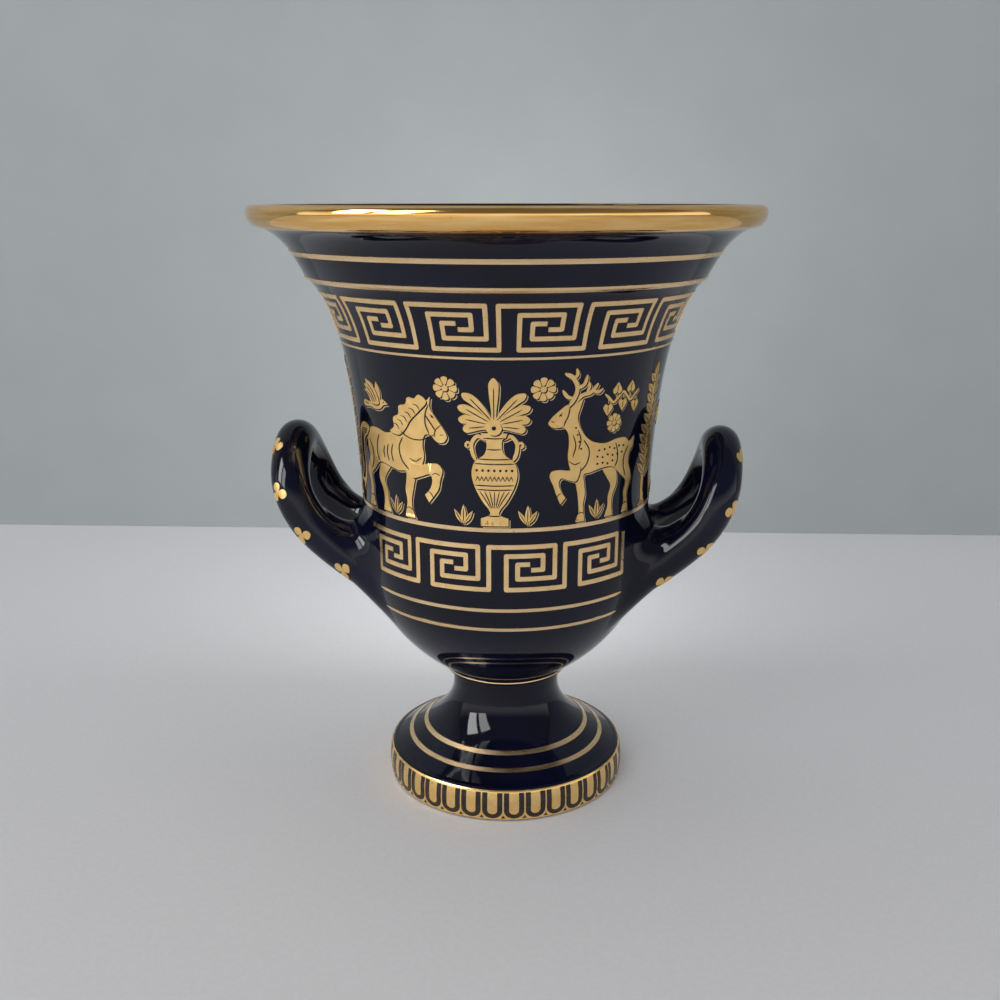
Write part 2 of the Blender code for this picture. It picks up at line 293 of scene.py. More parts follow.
floor_sweep = cubic(
    inside_wall[-1],
    (inside_wall[-1][0] - WALL, inside_wall[-1][1] - 2 * WALL),
    (WALL, floor_height),
    (0.0, floor_height),
    FLOOR_POINTS,
)
bowl_inside = inside_lip + inside_wall + floor_sweep[1:]
glaze = cobalt_glaze()
bowl = turned("glazed_bowl", bowl_inside[::-1] + bowl_line + [(0.0, waist_height)], glaze)
set_in_frame(bowl, "cobalt_glaze", "bowl")

# Pedestal foot
# A hollow trumpet foot, cast by itself and stuck under the bowl with slip before glazing. The ring it
# stands on is wiped clean of glaze, so that it does not stick to the kiln shelf, and shows the pale clay.
NECK_LENGTH = 4.4 * MM
NECK_FLARE_PULL = 8.0 * MM
FOOT_DOME_PULL = 6.3 * MM
FOOT_DOME_RISE = 3.7 * MM
FOOT_EDGE_HEIGHT = 9.0 * MM
FOOT_EDGE_BULGE = 0.3 * MM
FOOT_EDGE_ROUND = 0.8 * MM
FOOT_SHOULDER_ROUND = 1.6 * MM
FOOT_HOLLOW_INSET = 6.0 * MM
DOME_POINTS = 61
FOOT_EDGE_POINTS = 25
CUBIC_REACH = 0.75
JOINT_OVERLAP = 0.4 * MM
BARE_RING_WIDTH = 2.4 * MM
BARE_RING_STAND = 0.04 * MM
CLAY_PALE = (0.62, 0.55, 0.45, 1.0)
CLAY_WORN = (0.40, 0.33, 0.26, 1.0)


def bare_clay():
    """Unglazed fired clay: chalky, speckled and a little dirty from standing on shelves."""
    material, tree, shader = new_finish("bare_clay")
    speckles = cloud(tree, lumps_per_metre=900, detail=6)
    chalk = cloud(tree, lumps_per_metre=1500, detail=3)
    grains = cloud(tree, lumps_per_metre=2500, detail=4)
    tone = shades(tree, speckles, ((0.35, CLAY_WORN), (0.6, CLAY_PALE)))
    tree.links.new(tone, shader.inputs["Base Color"])
    tree.links.new(levels(tree, chalk, low=0.7, high=0.95), shader.inputs["Roughness"])
    tree.links.new(relief(tree, grains, depth=0.1 * MM, strength=0.5), shader.inputs["Normal"])
    return material


foot_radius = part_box("pedestal_foot")[1][0] - FOOT_EDGE_BULGE
neck_low = (NECK_RADIUS, waist_height - NECK_LENGTH)
shoulder = (foot_radius - FOOT_SHOULDER_ROUND, FOOT_EDGE_HEIGHT)
dome = cubic(
    neck_low,
    (NECK_RADIUS, neck_low[1] - NECK_FLARE_PULL),
    (shoulder[0] - FOOT_DOME_PULL, FOOT_EDGE_HEIGHT + FOOT_DOME_RISE),
    shoulder,
    DOME_POINTS,
)
edge_top = (foot_radius, FOOT_EDGE_HEIGHT - FOOT_SHOULDER_ROUND)
edge_low = (foot_radius, FOOT_EDGE_ROUND)
shoulder_middle = (shoulder[0], edge_top[1])
shoulder_round = arc(shoulder_middle, FOOT_SHOULDER_ROUND, math.pi / 2, 0.0, ROUND_POINTS)
# Half way along, a cubic curve has come out by only this share of its pull
edge_swell = FOOT_EDGE_BULGE / CUBIC_REACH
edge = cubic(
    edge_top,
    (foot_radius + edge_swell, FOOT_EDGE_HEIGHT * 2 / 3),
    (foot_radius + edge_swell, FOOT_EDGE_HEIGHT / 3),
    edge_low,
    FOOT_EDGE_POINTS,
)
base_middle = (foot_radius - FOOT_EDGE_ROUND, edge_low[1])
base_round = arc(base_middle, FOOT_EDGE_ROUND, 0.0, -math.pi / 2, SMALL_ROUND_POINTS)
hollow = [point for point in offset(dome, -WALL)[::-1] if point[0] < foot_radius - FOOT_HOLLOW_INSET]
rest_inner = (foot_radius - WALL, 0.0)
foot_outline = [(0.0, waist_height + JOINT_OVERLAP), (NECK_RADIUS, waist_height + JOINT_OVERLAP)]
foot_outline += dome[:-1] + shoulder_round + edge[1:-1] + base_round
foot_outline += [rest_inner, (rest_inner[0], WALL / 2)] + hollow + [(0.0, hollow[-1][1])]
foot = turned("glazed_foot", foot_outline, glaze)
set_in_frame(foot, "cobalt_glaze", "pedestal_foot")
ring_middle = (rest_inner[0] + base_middle[0]) / 2
ring_out, ring_in = ring_middle + BARE_RING_WIDTH / 2, ring_middle - BARE_RING_WIDTH / 2
ring_high, ring_low = 2 * BARE_RING_STAND, -BARE_RING_STAND
ring_line = [(ring_out, ring_high), (ring_out, ring_low), (ring_in, ring_low), (ring_in, ring_high)]
bare_ring = turned("bare_foot_ring", ring_line, bare_clay(), closed=True)
set_in_frame(bare_ring, "cobalt_glaze")

# Handles
# Two loops of round clay roll, bent while soft. Each end is pressed on to the lower bowl and smoothed out
# with a wet finger, so the root spreads into the wall in a soft hollow, longest between the two legs.
HANDLE_THICKNESS = 9.8 * MM
HANDLE_LEG_SPACING = 27.0 * MM
HANDLE_ROOT_SINK = 6.2 * MM
HANDLE_ROOT_DROP = 5.6 * MM
HANDLE_LEG_STAND = 5.6 * MM
HANDLE_LEG_RISE = 2.9 * MM
HANDLE_BEND_STAND = 13.3 * MM
HANDLE_BEND_RISE = 10.8 * MM
HANDLE_STAND = 17.9 * MM
HANDLE_RISE = 28.5 * MM
HANDLE_SHOULDER_INSET = 0.8 * MM
HANDLE_SHOULDER_DROP = 8.5 * MM
HANDLE_SHOULDER_CLOSING = 1.7 * MM
HANDLE_STEP = 0.8 * MM
HANDLE_SIDES = 48
SPAN_POINTS = 24
SMOOTHING_PASSES = 20
ROOT_HOLLOW = 5.2 * MM
ROOT_HOLLOW_BELOW = 4.2 * MM
ROOT_HOLLOW_ABOVE = 7.0 * MM
ROOT_HOLLOW_INSIDE = 11.0 * MM
ROOT_SINK = 0.04 * MM
ROOT_PLUG = 1.2 * MM
HOLLOW_ROWS = 15
SETTLE_ROWS = 10
SETTLE_MARGIN = 2
BOTH_HANDLES = (("right", 1), ("left", -1))


def wall_at(line, height):
    """Radius, outward share and upward share of a wall's outline at a height."""
    rising = line[::-1]
    heights = [point[1] for point in rising]
    index = min(max(bisect.bisect_left(heights, height), 1), len(rising) - 1)
    (low_radius, low), (high_radius, high) = rising[index - 1], rising[index]
    share = (height - low) / (high - low)
    length = math.hypot(high_radius - low_radius, high - low)
    outward, upward = (high - low) / length, -(high_radius - low_radius) / length
    return low_radius + (high_radius - low_radius) * share, outward, upward


def on_wall(line, angle, height, lift):
    """A point on a turned wall; angle is 0 at the front and grows to the right."""
    radius, outward, upward = wall_at(line, height)
    reach = radius + outward * lift
    return (reach * math.sin(angle), -reach * math.cos(angle), height + upward * lift)


def through(knots, count):
    """A smooth curve through 3-D knots, with count points in each span."""
    ends = [2 * knots[0] - knots[1]] + knots + [2 * knots[-1] - knots[-2]]
    curve = []
    for before, start, end, after in zip(ends, ends[1:], ends[2:], ends[3:]):
        for step in range(count):
            t = step / count
            bend = 2 * before - 5 * start + 4 * end - after
            swing = 3 * start - before - 3 * end + after
            curve.append(start + ((end - before) * t + bend * t ** 2 + swing * t ** 3) / 2)
    return curve + [knots[-1]]


def spaced(line, count):
    """The same line with evenly spaced points."""
    reach = [0.0]
    for here, there in zip(line, line[1:]):
        reach.append(reach[-1] + (there - here).length)
    even = []
    for step in range(count):
        goal = reach[-1] * step / (count - 1)
        index = min(max(bisect.bisect_left(reach, goal), 1), len(line) - 1)
        share = (goal - reach[index - 1]) / (reach[index] - reach[index - 1])
        even.append(line[index - 1].lerp(line[index], share))
    return even


def handle_path():
    """The middle line of the right handle's front half, from inside the wall to the top of the loop."""
    half_spacing = HANDLE_LEG_SPACING / 2
    shoulder_stand = HANDLE_STAND - HANDLE_SHOULDER_INSET
    shoulder_side = half_spacing - HANDLE_SHOULDER_CLOSING
    shoulder_rise = HANDLE_RISE - HANDLE_SHOULDER_DROP
    knots = []
    for stand, side, rise in (
        (-HANDLE_ROOT_SINK, half_spacing, -HANDLE_ROOT_DROP),
        (HANDLE_LEG_STAND, half_spacing, HANDLE_LEG_RISE),
        (HANDLE_BEND_STAND, half_spacing, HANDLE_BEND_RISE),
        (shoulder_stand, shoulder_side, shoulder_rise),
        (HANDLE_STAND, 0.0, HANDLE_RISE),
    ):
        knots.append(Vector((BELLY_RADIUS + stand, -side, belly_height + rise)))
    knots += [Vector((knot.x, -knot.y, knot.z)) for knot in knots[-2::-1]]
    curve = through(knots, SPAN_POINTS)
    length = sum((there - here).length for here, there in zip(curve, curve[1:]))
    half_count = round(length / 2 / HANDLE_STEP)
    path = spaced(curve, 2 * half_count + 1)
    for _ in range(SMOOTHING_PASSES):
        middle = [(a + 2 * b + c) / 4 for a, b, c in zip(path, path[1:], path[2:])]
        path = [path[0]] + middle + [path[-1]]
    return path[:half_count + 2]


def handle_columns():
    """Lines along the round roll, one for each step round it; the first is on its outward side."""
    path = handle_path()
    columns = [[] for _ in range(HANDLE_SIDES)]
    outward = None
    for before, middle, after in zip([path[0]] + path, path, path[1:]):
        ahead = (after - before).normalized()
        if outward is None:
            outward = Vector((ahead.z, 0.0, -ahead.x))
        outward = (outward - ahead * outward.dot(ahead)).normalized()
        sideways = ahead.cross(outward)
        for step, column in enumerate(columns):
            turn = 2 * math.pi * step / HANDLE_SIDES
            around = outward * math.cos(turn) + sideways * math.sin(turn)
            column.append(middle + around * HANDLE_THICKNESS / 2)
    return columns


def off_wall(place):
    """How far a point stands out from the bowl."""
    return math.hypot(place.x, place.y) - wall_at(bowl_line, place.z)[0]


def walk(line, distance):
    """The point a distance along a line, and the index of the point after it."""
    for index in range(1, len(line)):
        step = (line[index] - line[index - 1]).length
        if distance <= step:
            return line[index - 1].lerp(line[index], distance / step), index
        distance -= step
    return line[-1], len(line) - 1


def handle_rows():
    """Rings of points from inside the wall, out through the hollow of the root, to the top of the loop."""
    columns = handle_columns()
    meets = []
    for column in columns:
        out = next(index for index, place in enumerate(column) if off_wall(place) > 0)
        near, far = off_wall(column[out - 1]), off_wall(column[out])
        meets.append((column[out - 1].lerp(column[out], -near / (far - near)), out))
    spots = [(math.atan2(place.x, -place.y), place.z) for place, _ in meets]
    middle_angle = sum(angle for angle, _ in spots) / HANDLE_SIDES
    middle_height = sum(height for _, height in spots) / HANDLE_SIDES
    plugs, hollows, settled_at = [], [], []
    for column, (meet, out), (angle, height) in zip(columns, meets, spots):
        away = Vector(((angle - middle_angle) * BELLY_RADIUS, height - middle_height)).normalized()
        reach = ROOT_HOLLOW + ROOT_HOLLOW_INSIDE * max(0.0, away.x)
        reach += ROOT_HOLLOW_BELOW * max(0.0, -away.y) + ROOT_HOLLOW_ABOVE * max(0.0, away.y)
        foot_spot = (angle + away.x * reach / BELLY_RADIUS, height + away.y * reach)
        foot_place = Vector(on_wall(bowl_line, *foot_spot, -ROOT_SINK))
        plugs.append(Vector(on_wall(bowl_line, *foot_spot, -ROOT_PLUG)))
        start, after = walk([meet] + column[out:], reach)
        hollows.append((foot_place, meet, start))
        settled_at.append(out + after)
    settled = max(settled_at) + SETTLE_MARGIN
    rows = [plugs]
    for row in range(HOLLOW_ROWS):
        t = row / (HOLLOW_ROWS - 1)
        rows.append([a * (1 - t) ** 2 + b * 2 * t * (1 - t) + c * t * t for a, b, c in hollows])
    tails = []
    for column, after, (_, _, start) in zip(columns, settled_at, hollows):
        tails.append(spaced([start] + column[after:settled + 1], SETTLE_ROWS + 1)[1:])
    rows += [list(row) for row in zip(*tails)]
    rows += [[column[index] for column in columns] for index in range(settled + 1, len(columns[0]))]
    return rows


def whole_loop(rows):
    """Front half and its mirror image behind, as one run of rings."""
    return rows + [[Vector((place.x, -place.y, place.z)) for place in row] for row in rows[-2::-1]]


front_rows = handle_rows()
for side_name, side in BOTH_HANDLES:
    flesh = bmesh.new()
    loops = []
    for row in whole_loop(front_rows):
        loops.append([flesh.verts.new((place.x * side, place.y * side, place.z)) for place in row])
    for near, far in zip(loops, loops[1:]):
        for step in range(HANDLE_SIDES):
            ahead = (step + 1) % HANDLE_SIDES
            flesh.faces.new((near[step], near[ahead], far[ahead], far[step]))
    flesh.faces.new(loops[0][::-1])
    flesh.faces.new(loops[-1])
    bmesh.ops.recalc_face_normals(flesh, faces=flesh.faces)
    handle = link_mesh("glazed_handle_" + side_name, flesh, glaze)
    set_in_frame(handle, "cobalt_glaze", "handle_" + side_name)

# Rim gilding
# Liquid bright gold brushed over the rolled lip on a turning wheel, then fired on. It ends just inside the
# mouth and on the lip's underside, with the faint streaks of the brush and tiny worn spots.
GOLD_FILM = 0.12 * MM
GOLD_SINK = 0.08 * MM
RIM_GOLD_INSIDE_POINTS = 4
RIM_GOLD_LIGHT = (1.00, 0.65, 0.26, 1.0)
RIM_GOLD_DEEP = (0.90, 0.50, 0.14, 1.0)
BRUSH_STREAKS = (0.35, 0.35, 6.0)
PRINT_GRAIN = (1.4, 1.4, 1.4)
WEAR_EDGE = 0.03


def fired_gold(name, light, deep, smooth, rough, wear, grain=BRUSH_STREAKS):
    """Fired gold: a warm mirror with streaks or print grain, uneven polish and worn specks of glaze."""
    material, tree, shader = new_finish(name)
    streaks = cloud(tree, lumps_per_metre=260, detail=4, stretch=grain)
    colour = shades(tree, streaks, ((0.35, deep), (0.65, light)))
    dust = cloud(tree, lumps_per_metre=1300, detail=5)
    specks = levels(tree, dust, low=0.0, high=1.0, from_low=wear, from_high=wear + WEAR_EDGE)
    unworn = levels(tree, specks, low=1.0, high=0.0, from_low=0.0, from_high=1.0)
    worn = tree.nodes.new("ShaderNodeMix")
    worn.data_type = "RGBA"
    worn.inputs["B"].default_value = GLAZE_BLUE
    tree.links.new(specks, worn.inputs["Factor"])
    tree.links.new(colour, worn.inputs["A"])
    colour_sockets = [socket for socket in worn.outputs if socket.type == "RGBA"]
    tree.links.new(colour_sockets[0], shader.inputs["Base Color"])
    tree.links.new(unworn, shader.inputs["Metallic"])
    tree.links.new(levels(tree, streaks, low=smooth, high=rough), shader.inputs["Roughness"])
    tree.links.new(relief(tree, streaks, depth=0.02 * MM, strength=0.08), shader.inputs["Normal"])
    return material


def film_ring(name, line, material, slot, *cad_nodes):
    """A gold coat round the whole vase, along a stretch of its outline."""
    coat = offset(line, GOLD_FILM) + offset(line, -GOLD_SINK)[::-1]
    set_in_frame(turned(name, coat, material, closed=True), slot, *cad_nodes)


rim_gold = fired_gold("rim_gold", RIM_GOLD_LIGHT, RIM_GOLD_DEEP, smooth=0.05, rough=0.11, wear=0.78)
gilded_lip = inside_lip[:RIM_GOLD_INSIDE_POINTS][::-1] + lip
film_ring("rim_gold_coat", gilded_lip, rim_gold, "bright_gold", "rim_gilding")

# Gold lines
# Thin gold lines drawn with a banding brush while the vase turns: two on the kinks of the neck, two that
# frame the picture band, one on the roll at the waist and two on the dome of the foot. Under the lower
# border, two more on each side of the vase stop at the handles.
LINE_GOLD_LIGHT = (0.97, 0.71, 0.41, 1.0)
LINE_GOLD_DEEP = (0.92, 0.64, 0.34, 1.0)
NECK_LINE_WIDTH = 1.1 * MM
FRIEZE_TOP_LINE_WIDTH = 0.55 * MM
FRIEZE_TOP_LINE_DROP = 15.1 * MM
FRIEZE_LOW_LINE_WIDTH = 0.95 * MM
FRIEZE_LOW_LINE_RISE = 15.2 * MM
WAIST_RING_POINTS = slice(2, 4)
FOOT_LINE_WIDTH = 1.05 * MM
FOOT_LINE_INNER_INSET = 9.5 * MM
FOOT_LINE_OUTER_INSET = 5.4 * MM
BELLY_LINE_WIDTH = 0.85 * MM
BELLY_LINE_UPPER_DROP = 4.6 * MM
BELLY_LINE_LOWER_DROP = 9.9 * MM
BELLY_LINE_HALF_ANGLE = math.radians(54.5)
BRUSH_TAPER = math.radians(3.5)
BRUSH_TIP = 0.25
STEP_ANGLE = math.radians(1.0)
STRETCH_POINTS = 9
BOTH_FACES = (("front", 0.0), ("back", math.pi))


def between(line, low, high, count=STRETCH_POINTS):
    """A stretch of outline between two heights, from the top down."""
    steps = [high + (low - high) * step / (count - 1) for step in range(count)]
    return [(wall_at(line, height)[0], height) for height in steps]


def link_sheet(name, flesh, material, thickness):
    """A sheet of gold or glaze with crisp edges, given a back and sides down into the wall below it."""
    crisp = [rim.is_boundary for rim in flesh.edges]
    piece = link_mesh(name, flesh, material)
    piece.data.edges.foreach_set("use_edge_sharp", crisp)
    solid = piece.modifiers.new("thickness", "SOLIDIFY")
    solid.thickness = thickness
    solid.offset = -1.0
    return piece


def wall_line(node, height, width):
    """A brushed line right round the bowl, in place of a plain CAD ring."""
    line = between(bowl_line, height - width / 2, height + width / 2)
    film_ring(node + "_gold", line, line_gold, "bright_gold", node)


def foot_line(node, inset):
    """A brushed line round the dome of the foot, in place of a plain CAD ring."""
    heights = []
    for radius in (foot_radius - inset - FOOT_LINE_WIDTH / 2, foot_radius - inset + FOOT_LINE_WIDTH / 2):
        after = next(index for index, point in enumerate(dome) if point[0] >= radius)
        (near, high), (far, low) = dome[after - 1], dome[after]
        heights.append(high + (low - high) * (radius - near) / (far - near))
    film_ring(node + "_gold", between(dome, heights[1], heights[0]), line_gold, "bright_gold", node)


line_gold = fired_gold("line_gold", LINE_GOLD_LIGHT, LINE_GOLD_DEEP, smooth=0.20, rough=0.36, wear=0.72)
frieze_top = fascia_low[1] - FRIEZE_TOP_LINE_DROP
frieze_low = belly_height + FRIEZE_LOW_LINE_RISE
wall_line("neck_line_upper", fascia_top[1], NECK_LINE_WIDTH)
wall_line("neck_line_lower", fascia_low[1], NECK_LINE_WIDTH)
wall_line("frieze_line_upper", frieze_top, FRIEZE_TOP_LINE_WIDTH)
wall_line("frieze_line_lower", frieze_low, FRIEZE_LOW_LINE_WIDTH)
film_ring("waist_ring_gold", roll[WAIST_RING_POINTS], line_gold, "bright_gold", "waist_ring")
foot_line("foot_line_inner", FOOT_LINE_INNER_INSET)
foot_line("foot_line_outer", FOOT_LINE_OUTER_INSET)


def wall_face(flesh, corners):
    """A face on a turned wall, with its outer side away from the axis."""
    face = flesh.faces.new(corners)
    face.normal_update()
    middle = face.calc_center_median()
    if face.normal.x * middle.x + face.normal.y * middle.y < 0:
        face.normal_flip()


def wall_strip(flesh, line, edges, lift):
    """A strip of quads on a wall between two rows of (angle, height) points."""
    rows = []
    for pair in edges:
        rows.append([flesh.verts.new(on_wall(line, angle, height, lift)) for angle, height in pair])
    for here, there in zip(rows, rows[1:]):
        wall_face(flesh, (here[0], here[1], there[1], there[0]))


def belly_arc(facing, height):
    """Edges of a brushed arc that comes to a soft point at both ends."""
    count = round(2 * BELLY_LINE_HALF_ANGLE / STEP_ANGLE)
    edges = []
    for step in range(count + 1):
        angle = -BELLY_LINE_HALF_ANGLE + 2 * BELLY_LINE_HALF_ANGLE * step / count
        to_end = (BELLY_LINE_HALF_ANGLE - abs(angle)) / BRUSH_TAPER
        half = BELLY_LINE_WIDTH / 2 * (BRUSH_TIP + (1 - BRUSH_TIP) * min(1.0, to_end))
        edges.append(((facing + angle, height + half), (facing + angle, height - half)))
    return edges


for side_name, facing in BOTH_FACES:
    for line_name, drop in (("upper", BELLY_LINE_UPPER_DROP), ("lower", BELLY_LINE_LOWER_DROP)):
        flesh = bmesh.new()
        wall_strip(flesh, bowl_line, belly_arc(facing, belly_height - drop), GOLD_FILM)
        node = "belly_line_" + line_name + "_" + side_name
        arc_piece = link_sheet(node + "_gold", flesh, line_gold, GOLD_FILM + GOLD_SINK)
        set_in_frame(arc_piece, "bright_gold", node)

# Key borders
# Two bands of Greek key in printed gold. The upper one runs right round under the neck, the lower one is
# cut into a front and a back panel by the handles. Each hook is one stroke that turns inwards at both ends.
UPPER_KEY_LOW = 119.4 * MM
UPPER_KEY_HIGH = 130.5 * MM
UPPER_KEY_COUNT = 14
UPPER_KEY_TURN = math.radians(1.6)
LOWER_KEY_LOW = 63.0 * MM
LOWER_KEY_HIGH = 74.8 * MM
LOWER_KEY_PITCH = math.radians(28.1)
LOWER_KEY_START = math.radians(-58.7)
LOWER_KEY_COUNT = 4
KEY_STROKE = 0.094
KEY_GOLD_LIGHT = (1.00, 0.72, 0.38, 1.0)
KEY_GOLD_DEEP = (0.97, 0.66, 0.32, 1.0)
KEY_STEP = 0.03
KEY_END_POINTS = 7
KEY_WELD = 0.002 * MM
HOOK_IN = ((0.545, 0.54), (0.70, 0.54), (0.70, 0.245), (0.225, 0.245), (0.225, 0.94))
HOOK_OUT = ((0.0, 0.06), (0.86, 0.06), (0.86, 0.72), (0.37, 0.72), (0.37, 0.42), (0.53, 0.42))
NEXT_UPRIGHT = ((1.0, 0.94), (1.0, 0.06))


def shifted(points, units):
    """A path moved across by whole units of the border."""
    return [(across + units, down) for across, down in points]


def stroke_edges(path, width, stretch):
    """Both edges of a stroke with round corners and ends; stretch is a unit's width over its height."""
    middle = [(across * stretch, down) for across, down in path]
    half = width / 2
    ways = []
    for start, end in zip(middle, middle[1:]):
        length = math.dist(start, end)
        ways.append(((end[0] - start[0]) / length, (end[1] - start[1]) / length))
    edges = []
    for index, (start, end) in enumerate(zip(middle, middle[1:])):
        along = ways[index]
        aside = (-along[1] * half, along[0] * half)
        near = half if index > 0 else 0.0
        far = half if index < len(ways) - 1 else 0.0
        run = math.dist(start, end) - near - far
        steps = max(1, round(run / KEY_STEP))
        for step in range(steps + 1):
            reach = near + run * step / steps
            x, y = start[0] + along[0] * reach, start[1] + along[1] * reach
            edges.append(((x + aside[0], y + aside[1]), (x - aside[0], y - aside[1])))
        if index < len(ways) - 1:
            edges += round_corner(end, along, ways[index + 1], half)
    return round_end(edges[0], half)[::-1] + edges + round_end(edges[-1][::-1], half, True)


def round_corner(corner, old_way, new_way, half):
    """Edge pairs round a corner: the inner edge stays put and the outer one turns on a half width."""
    side = 1 if old_way[0] * new_way[1] - old_way[1] * new_way[0] > 0 else -1
    inner = tuple(place + (new - old) * half for place, new, old in zip(corner, new_way, old_way))
    pairs = []
    for step in range(1, KEY_END_POINTS):
        turn = math.pi / 2 * step / KEY_END_POINTS
        x, y = [old * math.cos(turn) + new * math.sin(turn) for old, new in zip(old_way, new_way)]
        outer = (corner[0] + side * y * half, corner[1] - side * x * half)
        pairs.append((inner, outer) if side > 0 else (outer, inner))
    return pairs


def round_end(pair, half, last=False):
    """Edge pairs that close a stroke with a half circle."""
    (ax, ay), (bx, by) = pair
    aside = ((ax - bx) / 2 / half, (ay - by) / 2 / half)
    pairs = []
    for step in range(1, KEY_END_POINTS):
        turn = math.pi / 2 * step / KEY_END_POINTS
        reach, wide = half * math.sin(turn), half * math.cos(turn)
        x, y = (ax + bx) / 2 + aside[1] * reach, (ay + by) / 2 - aside[0] * reach
        left = (x + aside[0] * wide, y + aside[1] * wide)
        right = (x - aside[0] * wide, y - aside[1] * wide)
        pairs.append((right, left) if last else (left, right))
    return pairs


def key_band(name, paths, first_angle, pitch, low, high):
    """Key strokes on the bowl; a path's points are in units across and shares of the band's height down."""
    flesh = bmesh.new()
    height = high - low
    stretch = pitch * wall_at(bowl_line, (low + high) / 2)[0] / height
    for path in paths:
        edges = []
        for pair in stroke_edges(path, KEY_STROKE, stretch):
            edges.append([(first_angle + x / stretch * pitch, high - y * height) for x, y in pair])
        wall_strip(flesh, bowl_line, edges, GOLD_FILM)
    bmesh.ops.remove_doubles(flesh, verts=flesh.verts, dist=KEY_WELD)
    set_in_frame(link_sheet(name, flesh, key_gold, GOLD_FILM + GOLD_SINK), "bright_gold")


key_gold = fired_gold(
    "key_gold", KEY_GOLD_LIGHT, KEY_GOLD_DEEP, smooth=0.26, rough=0.36, wear=0.76, grain=PRINT_GRAIN
)
running_hook = list(HOOK_IN) + list(NEXT_UPRIGHT) + shifted(HOOK_OUT[1:], 1)
upper_paths = [shifted(running_hook, unit) for unit in range(UPPER_KEY_COUNT)]
upper_pitch = 2 * math.pi / UPPER_KEY_COUNT
key_band("upper_key_border", upper_paths, UPPER_KEY_TURN, upper_pitch, UPPER_KEY_LOW, UPPER_KEY_HIGH)
lower_paths = [list(HOOK_OUT)]
lower_paths += [shifted(running_hook, unit) for unit in range(LOWER_KEY_COUNT - 1)]
lower_paths.append(shifted(list(HOOK_IN) + list(NEXT_UPRIGHT), LOWER_KEY_COUNT - 1))
for side_name, facing in BOTH_FACES:
    start = facing + LOWER_KEY_START
    key_band("lower_key_" + side_name, lower_paths, start, LOWER_KEY_PITCH, LOWER_KEY_LOW, LOWER_KEY_HIGH)

# Frieze
# A picture printed in flat gold between two lines: a horse and a stag by a jar, trees, flowers and a bird,
# and the same on the back. Each shape has a dark gap and a pale second edge at its lower right, and inner
# lines of dark glaze. The layers stand for one print. Sizes in the picture are in millimetres.
PRINT_GOLD_LIGHT = (1.00, 0.69, 0.29, 1.0)
PRINT_GOLD_DEEP = (0.97, 0.63, 0.23, 1.0)
PALE_GOLD_LIGHT = (0.86, 0.68, 0.40, 1.0)
PALE_GOLD_DEEP = (0.78, 0.58, 0.31, 1.0)
FRIEZE_GROUND = 1.3 * MM
FRIEZE_RADIUS = 37.6 * MM
PRINT_BASE = 0.05 * MM
PRINT_LAYER = 0.02 * MM
PRINT_SINK = 0.3 * MM
TOP_LEVEL = 9
PEN_STEP = 0.45
PEN_TAPER = 0.9
CELL_WIDTH = 1.2
CELL_HEIGHT = 2.5
GAP_SHIFT = 0.27
ECHO_SHIFT = 0.45
PEN_TIP = 0.4
BOLD_LINE = 0.26
MEDIUM_LINE = 0.24
FINE_LINE = 0.22
LEAF_LINE = 0.18
PALMETTE_SIDE_PETALS = 4
PALMETTE_SPREAD = math.radians(20)
PALMETTE_BEND = 0.035
PALMETTE_LENGTH = 11.5
PALMETTE_SHORTENING = 1.15
LAUREL_TIERS = 10
LAUREL_FIRST_TIER = 6.4
LAUREL_TIER_GAP = 2.55
LAUREL_SWAY = 0.5
LAUREL_LEAF = 5.4
LAUREL_LEAF_SHORTENING = 0.22
LAUREL_LEAF_WIDTH = 1.75
LAUREL_LEAF_LEAN = (0.83, 0.62)
IVY_WAVE = 1.1
IVY_KNOTS = 8
IVY_STALK = 0.2
STAG_SPOT = 0.26
STAG_SPOT_GAP = 1.55
LEAF_SIDE = ((0.3, 0.85), (0.55, 1.0), (0.82, 0.5))
ROSETTES = ((2.7, 8, -10.6, 31.6), (2.7, 8, 10.2, 31.6), (2.2, 8, 28.6, 22.4), (3.0, 10, 53.6, 21.0))
TUFT_PLACES = (-26.6, -7.6, 7.4, 25.0, 53.4)


def flowing(knots, closed):
    """Points of a smooth line through knots; a knot with a third value is a sharp corner."""
    count = len(knots)
    points = []
    for index in range(count if closed else count - 1):
        start, end = knots[index], knots[(index + 1) % count]
        before, after = knots[index - 1], knots[(index + 2) % count]
        if len(start) > 2 or (index == 0 and not closed):
            before = (2 * start[0] - end[0], 2 * start[1] - end[1])
        if len(end) > 2 or (index == count - 2 and not closed):
            after = (2 * end[0] - start[0], 2 * end[1] - start[1])
        spans = ((before, start), (start, end), (end, after))
        gaps = [math.sqrt(math.dist(here[:2], there[:2])) for here, there in spans]
        pull_start, pull_end = [], []
        for axis in range(2):
            chord = (end[axis] - start[axis]) / gaps[1]
            first = (start[axis] - before[axis]) / gaps[0]
            last = (after[axis] - end[axis]) / gaps[2]
            over_start = (end[axis] - before[axis]) / (gaps[0] + gaps[1])
            over_end = (after[axis] - start[axis]) / (gaps[1] + gaps[2])
            pull_start.append(start[axis] + (first - over_start + chord) * gaps[1] / 3)
            pull_end.append(end[axis] - (chord - over_end + last) * gaps[1] / 3)
        pieces = max(2, round(math.dist(start[:2], end[:2]) / PEN_STEP))
        points += cubic(start, pull_start, pull_end, end, pieces + 1)[:-1]
    return points if closed else points + [tuple(knots[-1][:2])]


def patch(layer, *knots):
    """A gold shape with a smooth edge; a higher layer lies over a lower one."""
    return ("patch", layer, 0.0, knots)


def stroke(layer, width, *knots):
    """A gold pen stroke."""
    return ("stroke", layer, width, knots)


def dark_line(width, *knots):
    """A line of dark glaze drawn on the gold."""
    return ("line", 0, width, knots)


def dark_lines(width, *lines):
    """Dark lines of one width."""
    return [dark_line(width, *knots) for knots in lines]


